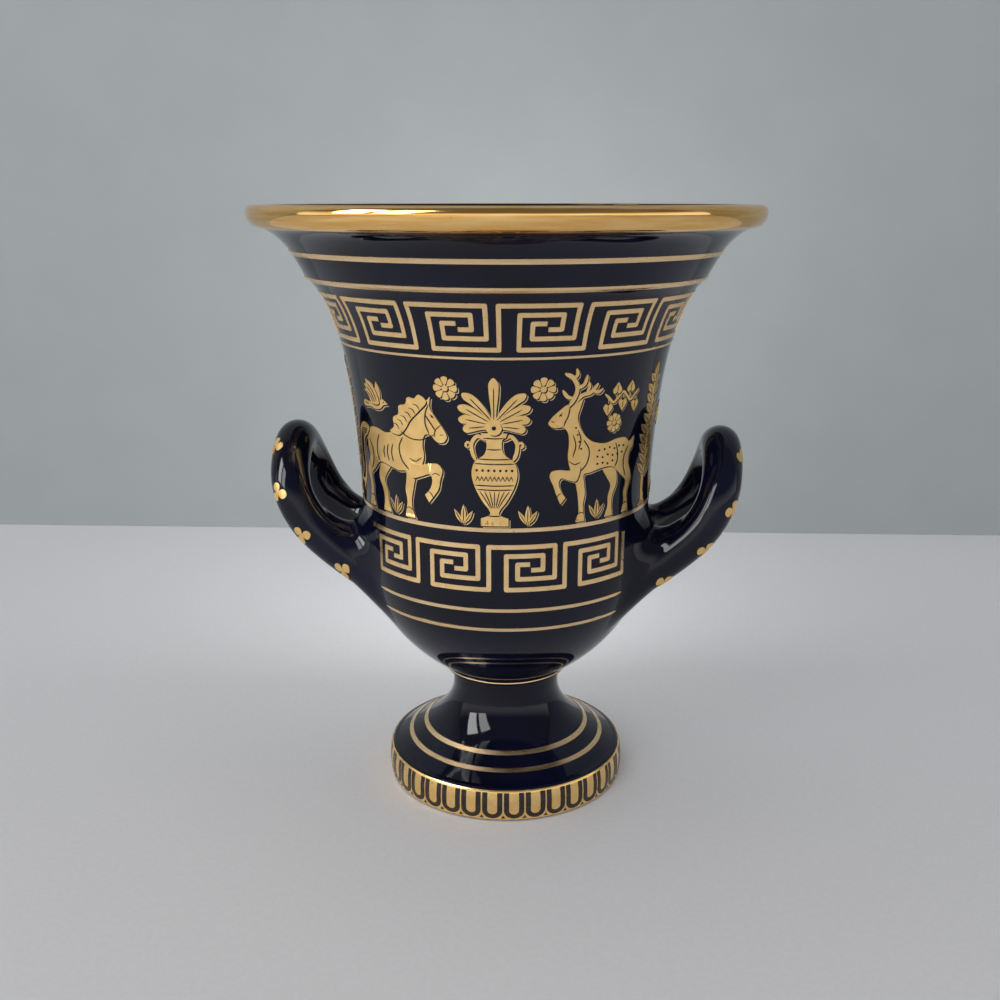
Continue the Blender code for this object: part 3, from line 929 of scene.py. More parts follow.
def circle(x, y, radius):
    """Six knots that a smooth line makes into a circle."""
    turns = [knot * math.pi / 3 for knot in range(6)]
    return [(x + radius * math.cos(turn), y + radius * math.sin(turn)) for turn in turns]


def dark_dot(radius, x, y):
    """A dot of dark glaze on the gold."""
    return ("dot", 0, 0.0, circle(x, y, radius))


def placed(shapes, across, up=0.0, flip=False):
    """A figure's shapes set at a place in the picture, facing the other way if flipped."""
    side = -1 if flip else 1
    moved = []
    for kind, layer, width, knots in shapes:
        knots = [(across + side * x, up + y, *corner) for x, y, *corner in knots]
        moved.append((kind, layer, width, knots))
    return moved


def horse():
    """A prancing horse that faces right, with a bridle, a mane in locks and a flowing tail."""
    far_hind_leg = patch(
        0, (7.2, 11.8), (5.6, 9.8), (5.2, 7.6), (6.6, 4.8), (6.9, 2.4), (6.4, 0.0, 1), (9.5, 0.0, 1),
        (8.6, 2.4), (8.5, 4.8), (7.6, 7.4), (8.8, 9.4), (10.4, 11.4),
    )
    body = patch(
        1, (26.4, 18.9), (27.3, 20.2), (26.6, 22.0), (24.9, 24.6), (23.6, 26.8), (23.9, 29.4, 1),
        (22.3, 27.9), (20.2, 27.7), (17.4, 25.6), (15.4, 22.6), (13.2, 20.4), (9.6, 19.3), (6.2, 19.9),
        (3.2, 19.6), (1.2, 17.6), (0.5, 14.8), (1.0, 12.0), (-0.2, 10.0), (-1.0, 8.5), (0.0, 5.4),
        (-0.2, 2.7), (-0.9, 0.0, 1), (2.3, 0.0, 1), (1.6, 2.6), (1.7, 5.2), (1.3, 7.8), (3.4, 9.4),
        (6.2, 11.6), (10.0, 11.3), (13.4, 10.7), (15.6, 10.9), (15.5, 8.6), (15.1, 6.4), (15.5, 3.8),
        (15.2, 2.0), (14.7, 0.0, 1), (17.8, 0.0, 1), (17.0, 2.0), (16.9, 4.0), (17.5, 6.6), (18.4, 9.6),
        (20.2, 12.4), (21.2, 15.2), (21.0, 18.0), (21.8, 20.3), (23.2, 20.4), (24.8, 18.9),
    )
    raised_leg = patch(
        2, (16.6, 13.2), (19.6, 12.9), (22.6, 13.6), (24.8, 13.6), (25.8, 12.4), (25.2, 10.0),
        (24.6, 7.6), (23.6, 6.2), (22.0, 4.2, 1), (20.9, 5.9, 1), (22.4, 7.5), (23.1, 9.6), (22.6, 11.0),
        (20.0, 10.2), (17.6, 9.6),
    )
    tail = patch(
        2, (2.2, 19.2), (-0.8, 20.2), (-3.8, 18.2), (-5.2, 14.2), (-5.0, 9.8), (-6.2, 6.4),
        (-8.4, 4.4, 1), (-5.4, 4.2), (-5.8, 2.2, 1), (-3.6, 4.4), (-2.2, 8.2), (-2.4, 12.4), (-1.4, 15.8),
        (0.8, 17.4),
    )
    mane = patch(
        2, (22.9, 28.2), (21.0, 29.6), (19.8, 28.6), (18.0, 28.7), (17.2, 27.1), (15.2, 26.4),
        (14.8, 24.5), (13.0, 23.4), (12.9, 21.2), (11.4, 20.0), (14.2, 19.4), (16.2, 20.8), (18.2, 23.4),
        (20.6, 25.6),
    )
    straps = dark_lines(
        MEDIUM_LINE,
        ((26.0, 23.0), (24.6, 21.6), (24.2, 20.0)),
        ((24.7, 21.4), (23.4, 23.4), (22.2, 25.2)),
    )
    cheek_rein_and_flanks = dark_lines(
        BOLD_LINE,
        ((23.4, 27.6), (22.4, 25.4), (22.2, 22.8), (23.0, 20.6)),
        ((24.4, 20.6), (20.6, 19.0), (17.2, 19.2), (15.0, 20.4)),
        ((15.4, 19.0), (14.0, 16.4), (14.6, 13.4), (16.6, 11.4)),
        ((6.8, 18.4), (5.6, 15.8), (5.4, 13.2), (6.2, 11.8)),
    )
    ribs_hooves_and_face = dark_lines(
        FINE_LINE,
        ((20.6, 14.8), (18.8, 13.7), (17.0, 14.2)),
        ((11.8, 16.8), (11.2, 14.6), (11.6, 12.6)),
        ((10.2, 16.6), (9.6, 14.6), (10.0, 12.6)),
        ((8.7, 16.0), (8.2, 14.4), (8.5, 13.0)),
        ((1.9, 16.6), (3.2, 14.0), (3.0, 11.4), (1.8, 9.2)),
        ((-0.4, 2.2), (0.7, 2.5), (1.7, 2.2)),
        ((14.9, 1.8), (16.0, 2.2), (17.2, 1.7)),
        ((21.8, 6.9), (22.6, 6.5), (23.2, 5.4)),
        ((23.0, 10.9), (24.0, 11.4), (25.2, 11.0)),
        ((23.4, 25.2), (24.0, 25.0), (24.4, 24.4)),
        ((26.4, 20.7), (25.7, 20.6)),
    )
    drawing = straps + cheek_rein_and_flanks + ribs_hooves_and_face + [dark_dot(0.22, 24.0, 24.75)]
    hair = []
    for share in (0.2, 0.42, 0.64, 0.86):
        hair.append(dark_line(
            FINE_LINE, (1.2 - 0.6 * share, 18.9 - 1.2 * share), (-2.6 + 1.2 * share, 18.6 - 2.0 * share),
            (-4.6 + 2.0 * share, 13.0), (-4.4 + 1.8 * share, 8.4), (-6.6 + 2.6 * share, 4.9 + 0.6 * share),
        ))
    for lock in range(6):
        x, y = 21.0 - 1.28 * lock, 26.0 - 1.04 * lock
        hair.append(dark_line(FINE_LINE, (x, y), (x - 0.6, y + 1.0), (x - 1.7, y + 1.3)))
    return [far_hind_leg, body, raised_leg, tail, mane] + drawing + hair


def stag():
    """A spotted stag that faces right, with one foreleg lifted and branching antlers."""
    far_hind_leg = patch(
        0, (6.0, 11.6), (4.9, 9.4), (4.8, 7.4), (6.0, 4.6), (6.1, 2.2), (5.7, 0.0, 1), (8.2, 0.0, 1),
        (7.4, 2.2), (7.4, 4.6), (6.8, 7.2), (8.2, 9.4), (9.6, 11.6),
    )
    body = patch(
        1, (23.3, 22.7), (24.4, 23.6), (23.7, 24.9), (21.9, 26.6), (20.2, 27.8), (19.0, 27.6),
        (16.6, 29.0, 1), (17.2, 26.6), (17.6, 24.8), (16.4, 21.6), (13.8, 18.9), (9.8, 17.8), (5.8, 18.4),
        (2.8, 18.2), (1.2, 17.0), (-0.6, 18.2, 1), (-0.4, 15.6), (0.6, 14.6), (0.8, 12.0), (-0.2, 9.8),
        (-0.8, 8.0), (0.4, 5.0), (0.2, 2.4), (-0.4, 0.0, 1), (2.1, 0.0, 1), (1.5, 2.4), (1.8, 4.8),
        (1.3, 7.4), (3.6, 9.4), (6.6, 11.7), (10.0, 11.9), (13.6, 11.2), (15.0, 11.0), (14.8, 8.6),
        (14.5, 6.4), (14.9, 3.6), (14.7, 1.9), (14.3, 0.0, 1), (16.7, 0.0, 1), (16.0, 1.9), (16.1, 3.8),
        (16.5, 6.6), (17.3, 9.6), (18.6, 12.4), (19.4, 15.4), (19.3, 18.6), (19.7, 21.2), (20.9, 22.6),
        (22.1, 22.5),
    )
    raised_leg = patch(
        2, (16.2, 13.0), (18.8, 12.3), (21.4, 12.6), (23.2, 12.3), (23.6, 11.2), (22.6, 8.8), (21.8, 6.6),
        (20.8, 4.4, 1), (19.6, 5.8, 1), (20.8, 7.6), (21.4, 9.6), (20.8, 10.6), (18.8, 9.9), (17.0, 9.6),
    )
    antlers = [
        stroke(2, 0.95, (19.9, 27.4), (18.7, 29.4), (18.3, 31.6), (19.6, 34.0), (21.4, 35.0)),
        stroke(2, 0.8, (18.9, 29.2), (20.4, 29.6), (21.6, 31.2)),
        stroke(2, 0.8, (18.5, 31.4), (16.8, 32.2), (16.2, 34.4)),
        stroke(2, 0.75, (19.4, 33.6), (18.6, 34.6), (18.9, 36.0)),
        stroke(0, 0.9, (19.2, 27.6), (16.8, 29.8), (15.0, 30.2), (13.2, 32.2)),
        stroke(0, 0.75, (16.0, 30.0), (15.4, 31.6), (15.9, 33.0)),
        stroke(0, 0.75, (14.6, 30.6), (12.8, 30.2), (11.8, 30.9)),
    ]
    drawing = [dark_dot(0.2, 21.6, 25.4)]
    drawing += dark_lines(
        MEDIUM_LINE,
        ((19.6, 27.4), (19.9, 25.2), (20.6, 23.6), (20.8, 22.8)),
        ((15.6, 19.2), (14.0, 16.6), (14.4, 13.6), (16.2, 11.6)),
        ((6.2, 17.4), (5.2, 15.0), (5.2, 12.8), (5.9, 11.6)),
    )
    drawing += dark_lines(
        FINE_LINE,
        ((21.3, 25.9), (21.8, 25.6), (22.0, 25.1)),
        ((23.8, 24.2), (23.0, 23.9)),
        ((1.6, 16.0), (2.8, 13.6), (2.7, 11.2), (1.7, 8.8)),
        ((18.4, 20.6), (17.6, 18.0), (18.2, 15.4)),
        ((17.2, 21.6), (16.4, 19.4), (16.8, 17.0)),
        ((19.2, 14.6), (17.6, 13.6), (16.2, 14.0)),
        ((0.0, 1.7), (0.9, 2.1), (1.7, 1.7)),
        ((14.5, 1.5), (15.4, 1.9), (16.3, 1.5)),
        ((20.5, 7.0), (21.3, 6.8), (21.7, 6.0)),
    )
    for row, (x, y, count) in enumerate(((3.4, 16.4, 6), (3.8, 14.7, 6), (6.8, 13.0, 4))):
        for step in range(count):
            scatter = 0.25 * math.sin(2.4 * step + row)
            drawing.append(dark_dot(STAG_SPOT, x + STAG_SPOT_GAP * step, y + scatter))
    for step in range(4):
        drawing.append(dark_dot(FINE_LINE, 16.2 + 0.55 * step, 17.2 + 1.7 * step))
    return [far_hind_leg, body, raised_leg] + antlers + drawing


def palmette(x, y):
    """A fan of nine rounded petals that lean outwards, with a round heart."""
    shapes = []
    for petal in range(-PALMETTE_SIDE_PETALS, PALMETTE_SIDE_PETALS + 1):
        lean = PALMETTE_SPREAD * petal
        bend = PALMETTE_BEND * ((petal > 0) - (petal < 0))
        length = PALMETTE_LENGTH - PALMETTE_SHORTENING * abs(petal)
        side = ((0.0, 0.26), (0.35, 0.58), (0.7, 1.0), (0.9, 0.95), (1.0, 0.0))
        rim = [(share * length, half) for share, half in side]
        rim += [(along, -half) for along, half in rim[-2::-1]]
        knots = []
        for along, half in rim:
            turn = lean + bend * along
            across = along * math.sin(turn) + half * math.cos(turn)
            up = along * math.cos(turn) - half * math.sin(turn)
            knots.append((x + across, y + up))
        shapes.append(patch(2, *knots))
        rib_start, rib_end = 2.0, 0.8 * length
        tip = lean + bend * rib_end
        shapes.append(dark_line(
            FINE_LINE,
            (x + rib_start * math.sin(lean), y + rib_start * math.cos(lean)),
            (x + rib_end * math.sin(tip), y + rib_end * math.cos(tip)),
        ))
    shapes.append(patch(3, *circle(x, y, 1.7)))
    shapes.append(dark_dot(0.5, x, y))
    return shapes


def jar():
    """A footed jar with scrolled handles, bands of pattern and a palmette over its mouth."""
    right_side = (
        (2.9, 21.6, 1), (2.6, 20.6, 1), (1.9, 20.2), (1.7, 18.2), (2.3, 16.6), (4.4, 14.9), (5.2, 12.2),
        (4.6, 9.2), (2.8, 5.6), (1.3, 3.6), (1.0, 2.6), (2.0, 1.9, 1), (3.2, 1.5, 1), (3.2, 0.0, 1),
    )
    shapes = [patch(1, *right_side, *[(-x, y, *corner) for x, y, *corner in right_side[::-1]])]
    for side in (-1, 1):
        loop = ((1.9, 20.0), (3.6, 20.9), (5.0, 19.2), (4.9, 17.0), (4.2, 15.2))
        scroll = ((4.9, 18.8), (6.0, 19.4), (6.4, 18.5), (5.8, 18.0))
        shapes.append(stroke(0, 0.85, *[(side * x, y) for x, y in loop]))
        shapes.append(stroke(0, 0.6, *[(side * x, y) for x, y in scroll]))
    for y, half in ((20.5, 2.3), (17.9, 1.6), (15.6, 3.7), (14.5, 4.5), (9.4, 4.5), (8.4, 4.0), (2.2, 1.6)):
        shapes.append(dark_line(MEDIUM_LINE, (-half, y), (0.0, y - 0.12), (half, y)))
    for step in range(-4, 5):
        x = 0.95 * step
        shapes.append(dark_line(FINE_LINE, (x - 0.45, 10.4), (x, 11.5, 1), (x + 0.45, 10.4)))
    for step in range(-3, 4):
        shapes.append(dark_dot(0.3, 1.33 * step, 12.9))
        shapes.append(dark_line(FINE_LINE, (0.3 * step, 4.0), (0.73 * step, 6.2), (1.13 * step, 8.0)))
    return shapes + palmette(0.0, 22.8)


def leaf(layer, root, tip, width):
    """A pointed leaf with a dark midrib."""
    along = (tip[0] - root[0], tip[1] - root[1])
    half = width / 2 / math.hypot(*along)

    def spot(share, out):
        """A point by its share of the leaf's length and its distance out from the midrib."""
        across = along[0] * share - along[1] * out
        up = along[1] * share + along[0] * out
        return (root[0] + across, root[1] + up)

    one_side = [spot(share, half * out) for share, out in LEAF_SIDE]
    other_side = [spot(share, -half * out) for share, out in LEAF_SIDE[::-1]]
    rib = dark_line(LEAF_LINE, spot(0.12, 0.0), spot(0.8, 0.0))
    return [patch(layer, (*root, 1), *one_side, (*tip, 1), *other_side), rib]


def laurel_tree():
    """A slim laurel with pairs of pointed leaves up a bent trunk."""
    trunk = stroke(1, 1.3, (0.0, 0.0), (0.5, 6.0), (-0.5, 12.0), (0.5, 18.0), (-0.3, 24.0), (0.2, 30.0))
    root = patch(2, (-2.0, 0.0, 1), (-0.9, 0.9), (-0.5, 2.6), (0.5, 2.6), (1.0, 0.9), (2.2, 0.0, 1))
    shapes = [trunk, root] + leaf(2, (0.2, 30.0), (0.3, 35.0), 1.8)
    for tier in range(LAUREL_TIERS):
        y = LAUREL_FIRST_TIER + LAUREL_TIER_GAP * tier
        sway = LAUREL_SWAY * math.sin(y * math.pi / 6)
        long = LAUREL_LEAF - LAUREL_LEAF_SHORTENING * tier
        for side in (-1, 1):
            low = y + 0.45 + 0.45 * side
            tip = (sway + side * long * LAUREL_LEAF_LEAN[0], low + long * LAUREL_LEAF_LEAN[1])
            shapes += leaf(2, (sway + side * 0.35, low), tip, LAUREL_LEAF_WIDTH)
    return shapes


def dove():
    """A small bird in flight that faces right."""
    body = patch(
        1, (8.2, 2.6, 1), (7.2, 3.3), (6.2, 3.6), (5.2, 3.0), (3.4, 2.8), (1.4, 2.4), (-1.4, 2.6, 1),
        (-2.2, 1.6), (-1.4, 1.0, 1), (1.2, 1.2), (3.4, 0.9), (5.4, 1.3), (6.6, 2.2),
    )
    near_wing = patch(
        2, (5.0, 2.4), (4.8, 4.4), (3.2, 6.8), (0.6, 7.8, 1), (0.9, 6.6, 1), (-0.3, 6.5, 1),
        (0.5, 5.4, 1), (-0.5, 5.1, 1), (0.9, 4.0), (2.0, 2.2),
    )
    far_wing = patch(0, (4.8, 2.2), (5.8, 4.4), (5.8, 6.2), (4.9, 7.6, 1), (4.2, 6.0), (3.4, 3.0))
    feathers = dark_lines(
        LEAF_LINE,
        ((4.2, 3.0), (3.2, 5.2), (1.4, 6.8)),
        ((3.5, 2.7), (2.4, 4.6), (0.8, 6.0)),
        ((2.8, 2.5), (1.8, 3.9), (0.5, 4.9)),
        ((-1.4, 1.9), (0.4, 1.8)),
    )
    eye = dark_dot(0.16, 6.9, 2.95)
    return [body, near_wing, far_wing, eye] + feathers


def ivy(length, leaves):
    """A waving strand with heart leaves hung above and below it in turn."""
    right_side = ((0.0, -0.5, 1), (0.75, -1.05), (1.35, -0.2), (0.7, 0.9), (0.0, 1.75, 1))
    outline = right_side + tuple((-side, rise) for side, rise, *_ in right_side[3:0:-1])

    def strand(share):
        """A point on the waving strand."""
        return length * (share - 0.5), IVY_WAVE * math.cos(math.pi / 2 * IVY_KNOTS * share)

    shapes = [stroke(1, 0.6, *[strand(knot / IVY_KNOTS) for knot in range(IVY_KNOTS + 1)])]
    for step in range(leaves):
        x, y = strand((step + 0.5) / leaves)
        up = 1 if step % 2 else -1
        stem = x + IVY_STALK
        heart = [(stem + side, y + up * (2.7 + rise), *corner) for side, rise, *corner in outline]
        shapes.append(stroke(0, 0.4, (x, y), (x + 0.3, y + up * 0.8), (stem, y + up * 1.6)))
        shapes.append(patch(2, *heart))
        shapes.append(dark_line(LEAF_LINE, (stem, y + up * 2.3), (stem, y + up * 3.7)))
    return shapes


def rosette(radius, petals):
    """A round flower with separate petals and a raised eye."""
    shapes = [patch(2, *circle(0.0, 0.0, 0.26 * radius))]
    for petal in range(petals):
        turn = 2 * math.pi * petal / petals
        knots = []
        for along, half in ((0.25, 0.0), (0.6, 0.22), (0.9, 0.26), (1.0, 0.0), (0.9, -0.26), (0.6, -0.22)):
            x = along * math.cos(turn) - half * math.sin(turn)
            y = along * math.sin(turn) + half * math.cos(turn)
            knots.append((radius * x, radius * y))
        shapes.append(patch(1, *knots))
    return shapes


def tuft():
    """A small plant on the ground."""
    shapes = []
    for x, y, width in ((-2.2, 3.4, 1.0), (0.1, 4.6, 1.2), (2.3, 3.2, 1.0)):
        shapes += leaf(1, (x * 0.1, 0.0), (x, y), width)
    return shapes


def pen_ribbon(points, width):
    """Both edges of a pen stroke that thins out at its ends."""
    reach = [0.0]
    for here, there in zip(points, points[1:]):
        reach.append(reach[-1] + math.dist(here, there))
    edges = []
    for index, (x, y) in enumerate(points):
        before, after = points[max(index - 1, 0)], points[min(index + 1, len(points) - 1)]
        length = math.dist(before, after)
        to_end = min(reach[index], reach[-1] - reach[index]) / PEN_TAPER
        half = width / 2 * (PEN_TIP + (1 - PEN_TIP) * min(1.0, to_end))
        aside = (-(after[1] - before[1]) / length * half, (after[0] - before[0]) / length * half)
        edges.append(((x + aside[0], y + aside[1]), (x - aside[0], y - aside[1])))
    corners = [corner for pair in edges for corner in pair]
    faces = [(k, k + 1, k + 3, k + 2) for k in range(0, len(corners) - 2, 2)]
    return corners, faces


def filled(outline):
    """The inside of a closed outline in faces small enough to follow the round wall."""
    sheet = bmesh.new()
    sheet.faces.new([sheet.verts.new((x, y, 0.0)) for x, y in outline]).normal_update()
    bmesh.ops.triangulate(sheet, faces=sheet.faces)
    for axis, gap in ((0, CELL_WIDTH), (1, CELL_HEIGHT)):
        places = [point[axis] for point in outline]
        across = Vector((0.0, 0.0, 0.0))
        across[axis] = 1.0
        for step in range(math.ceil(min(places) / gap), math.floor(max(places) / gap) + 1):
            parts = list(sheet.verts) + list(sheet.edges) + list(sheet.faces)
            bmesh.ops.bisect_plane(sheet, geom=parts, plane_co=across * step * gap, plane_no=across)
    sheet.verts.index_update()
    corners = [(corner.co.x, corner.co.y) for corner in sheet.verts]
    faces = [[corner.index for corner in face.verts] for face in sheet.faces]
    sheet.free()
    return corners, faces


def lay_print(flesh, corners, faces, shift, level):
    """A flat shape laid on the front and the back of the bowl, moved to the lower right by a shift."""
    ground = frieze_low + FRIEZE_GROUND
    lift = PRINT_BASE + PRINT_LAYER * level
    for _, facing in BOTH_FACES:
        dots = []
        for x, y in corners:
            angle = facing + (x + shift) * MM / FRIEZE_RADIUS
            height = ground + (y - shift) * MM
            dots.append(flesh.verts.new(on_wall(bowl_line, angle, height, lift)))
        for face in faces:
            wall_face(flesh, [dots[corner] for corner in face])


picture = placed(laurel_tree(), across=-50.0) + placed(laurel_tree(), across=44.0, flip=True)
picture += placed(horse(), across=-38.2) + placed(stag(), across=36.0, flip=True)
picture += placed(jar(), across=-0.2) + placed(dove(), across=-34.8, up=23.6)
picture += placed(ivy(length=11.0, leaves=5), across=30.4, up=28.4)
for radius, petals, across, up in ROSETTES:
    picture += placed(rosette(radius, petals), across, up)
for across in TUFT_PLACES:
    picture += placed(tuft(), across)
print_gold = fired_gold(
    "print_gold", PRINT_GOLD_LIGHT, PRINT_GOLD_DEEP, smooth=0.34, rough=0.46, wear=0.78, grain=PRINT_GRAIN
)
pale_gold = fired_gold(
    "pale_gold", PALE_GOLD_LIGHT, PALE_GOLD_DEEP, smooth=0.34, rough=0.46, wear=0.74, grain=PRINT_GRAIN
)
print_layers = {
    "frieze_gold": (bmesh.new(), print_gold, "bright_gold"),
    "frieze_gaps": (bmesh.new(), glaze, "cobalt_glaze"),
    "frieze_pale_edges": (bmesh.new(), pale_gold, "bright_gold"),
    "frieze_drawing": (bmesh.new(), glaze, "cobalt_glaze"),
}
for kind, layer, width, knots in picture:
    line = flowing(knots, kind in ("patch", "dot"))
    corners, faces = filled(line) if kind in ("patch", "dot") else pen_ribbon(line, width)
    if kind in ("line", "dot"):
        lay_print(print_layers["frieze_drawing"][0], corners, faces, 0.0, TOP_LEVEL)
    else:
        gap_level = 1 + 2 * layer
        lay_print(print_layers["frieze_pale_edges"][0], corners, faces, ECHO_SHIFT, 0)
        lay_print(print_layers["frieze_gaps"][0], corners, faces, GAP_SHIFT, gap_level)
        lay_print(print_layers["frieze_gold"][0], corners, faces, 0.0, gap_level + 1)
for layer_name, (flesh, material, slot) in print_layers.items():
    set_in_frame(link_sheet(layer_name, flesh, material, PRINT_SINK), slot)

# Tongue band
# A printed gold band round the foot's edge with a row of tongues that hang from its top line. The outline
# of each tongue is bare brown-black glaze, with a small mark of it between neighbours at the bottom. Here
# the dark parts are a thin layer on the gold.
TONGUE_COUNT = 36
TONGUE_TURN = math.radians(7.6)
TONGUE_BAND_LOW = 0.5 * MM
TONGUE_BAND_HIGH = 8.4 * MM
TONGUE_TOP = 7.9 * MM
TONGUE_ROUND_HEIGHT = 3.15 * MM
TONGUE_ROUND_TALL = 1.65 * MM
TONGUE_HALF_WIDTH = 0.345
TONGUE_STROKE = 0.24
TONGUE_LEG_POINTS = 6
TONGUE_ROUND_POINTS = 13
TONGUE_BAND_POINTS = 25
SPANDREL_LOW = 0.95 * MM
SPANDREL_HIGH = 1.8 * MM
SPANDREL_HALF_WIDTH = 0.10
DARK_FILM = 0.05 * MM
BROWN_DEEP = (0.010, 0.007, 0.006, 1.0)
BROWN_WARM = (0.030, 0.018, 0.010, 1.0)


def brown_glaze():
    """Thin dark glaze left between printed gold, brown where it is thinnest."""
    material, tree, shader = new_finish("brown_glaze")
    clouds = cloud(tree, lumps_per_metre=500, detail=4)
    haze = cloud(tree, lumps_per_metre=900, detail=3)
    tone = shades(tree, clouds, ((0.35, BROWN_DEEP), (0.65, BROWN_WARM)))
    tree.links.new(tone, shader.inputs["Base Color"])
    tree.links.new(levels(tree, haze, low=0.12, high=0.28), shader.inputs["Roughness"])
    return material


def tongue_edges(middle):
    """Both edges of one tongue's outline: down the left leg, round the bottom and up the right leg."""
    outer, inner = half_wide + half_stroke, half_wide - half_stroke
    leg_drop = TONGUE_TOP - TONGUE_ROUND_HEIGHT
    legs = [TONGUE_TOP - leg_drop * step / TONGUE_LEG_POINTS for step in range(TONGUE_LEG_POINTS)]
    edges = [((middle - outer, height), (middle - inner, height)) for height in legs]
    for step in range(TONGUE_ROUND_POINTS + 1):
        turn = math.pi + math.pi * step / TONGUE_ROUND_POINTS
        pair = []
        for reach in (outer, inner):
            drop = TONGUE_ROUND_TALL * reach / half_wide
            pair.append((middle + reach * math.cos(turn), TONGUE_ROUND_HEIGHT + drop * math.sin(turn)))
        edges.append(tuple(pair))
    return edges + [((middle + outer, height), (middle + inner, height)) for height in legs[::-1]]


foot_edge_line = shoulder_round + edge[1:-1] + base_round[:-1]
band = between(foot_edge_line, TONGUE_BAND_LOW, TONGUE_BAND_HIGH, TONGUE_BAND_POINTS)
band_gold = fired_gold(
    "band_gold", PRINT_GOLD_LIGHT, PRINT_GOLD_DEEP, smooth=0.16, rough=0.30, wear=0.68, grain=PRINT_GRAIN
)
film_ring("foot_band_gold", band, band_gold, "bright_gold", "foot_edge_line_upper", "foot_edge_line_lower")
tongue_pitch = 2 * math.pi / TONGUE_COUNT
half_wide = TONGUE_HALF_WIDTH * tongue_pitch
half_stroke = TONGUE_STROKE * tongue_pitch / 2
half_mark = SPANDREL_HALF_WIDTH * tongue_pitch
dark_lift = GOLD_FILM + DARK_FILM
flesh = bmesh.new()
for unit in range(TONGUE_COUNT):
    middle = TONGUE_TURN + unit * tongue_pitch
    wall_strip(flesh, foot_edge_line, tongue_edges(middle), dark_lift)
    gap = middle + tongue_pitch / 2
    mark = [(gap - half_mark, SPANDREL_LOW), (gap, SPANDREL_HIGH), (gap + half_mark, SPANDREL_LOW)]
    corners = [on_wall(foot_edge_line, angle, height, dark_lift) for angle, height in mark]
    wall_face(flesh, [flesh.verts.new(corner) for corner in corners])
set_in_frame(link_sheet("tongue_outlines", flesh, brown_glaze(), DARK_FILM * 2), "cobalt_glaze")

# Handle sprigs
# Small trefoils dabbed in gold along the outer flank of each handle leg, one round petal towards the top of
# the loop and two towards the root. Each petal is one press of a round brush. Places along the leg are in
# millimetres from the wall. They were dabbed by eye, so the two handles differ.
SPRIG_PLACES = {"right": (22.2, 35.2, 47.2, 61.6), "left": (20.0, 33.6, 46.0, 59.2)}
SPRIG_SIDES = {"right": math.radians(-40), "left": math.radians(-59)}
PETAL_LENGTH = 2.7 * MM
PETAL_WIDTH = 2.4 * MM
PETAL_STEPS = 14
PETAL_LANES = (-1.0, -0.5, 0.0, 0.5, 1.0)
PETAL_HEAVY_END = 1.25
PETAL_BLUNTNESS = 0.62
PETAL_WELD = 0.01 * MM
PETAL_TURNS = (0.0, math.radians(118), math.radians(-118))


def handle_skin(middle_column, along, aside, lift):
    """A point on the handle, by distance along one line of the roll and distance round the roll."""
    skin_rows = front_rows[1:]
    reach = [0.0]
    for here, there in zip(skin_rows, skin_rows[1:]):
        reach.append(reach[-1] + (there[middle_column] - here[middle_column]).length)
    row = min(max(bisect.bisect_left(reach, along), 1), len(reach) - 1)
    share = (along - reach[row - 1]) / (reach[row] - reach[row - 1])
    near, far = skin_rows[row - 1], skin_rows[row]
    ring = [a.lerp(b, share) for a, b in zip(near, far)]
    step_length = (ring[middle_column + 1] - ring[middle_column]).length
    column = middle_column + aside / step_length
    left = math.floor(column)
    here, there = ring[left % HANDLE_SIDES], ring[(left + 1) % HANDLE_SIDES]
    along_skin = far[left % HANDLE_SIDES] - near[left % HANDLE_SIDES]
    outward = (there - here).cross(along_skin).normalized()
    return here.lerp(there, column - left) + outward * lift


def petal_shape():
    """Half widths along one petal, nearly round, pointed only where it joins the others."""
    rim = []
    for step in range(PETAL_STEPS):
        share = step / (PETAL_STEPS - 1)
        swell = math.sin(math.pi * share ** PETAL_HEAVY_END) ** PETAL_BLUNTNESS
        rim.append((share * PETAL_LENGTH, PETAL_WIDTH / 2 * swell))
    return rim


def dab_petal(flesh, column, place, petal_turn, side, mirror):
    """One petal on a handle; side turns it to the other handle and mirror sets it on the rear leg."""
    rows = []
    for along, half in petal_shape():
        row = []
        for lane in PETAL_LANES:
            across = lane * half
            up = along * math.cos(petal_turn) - across * math.sin(petal_turn)
            aside = along * math.sin(petal_turn) + across * math.cos(petal_turn)
            spot = handle_skin(column, place + up, aside, GOLD_FILM)
            row.append(flesh.verts.new((spot.x * side, spot.y * side * mirror, spot.z)))
        rows.append(row)
    for here, there in zip(rows, rows[1:]):
        for lane in range(len(here) - 1):
            corners = (here[lane], here[lane + 1], there[lane + 1], there[lane])
            flesh.faces.new(corners[::mirror])


for side_name, side in BOTH_HANDLES:
    flesh = bmesh.new()
    sprig_column = round(SPRIG_SIDES[side_name] / (2 * math.pi) * HANDLE_SIDES)
    for mirror in (1, -1):
        for place in SPRIG_PLACES[side_name]:
            for petal_turn in PETAL_TURNS:
                dab_petal(flesh, sprig_column, place * MM, petal_turn, side, mirror)
    bmesh.ops.remove_doubles(flesh, verts=flesh.verts, dist=PETAL_WELD)
    sprigs = link_sheet("handle_sprigs_" + side_name, flesh, print_gold, GOLD_FILM + GOLD_SINK)
    set_in_frame(sprigs, "bright_gold")

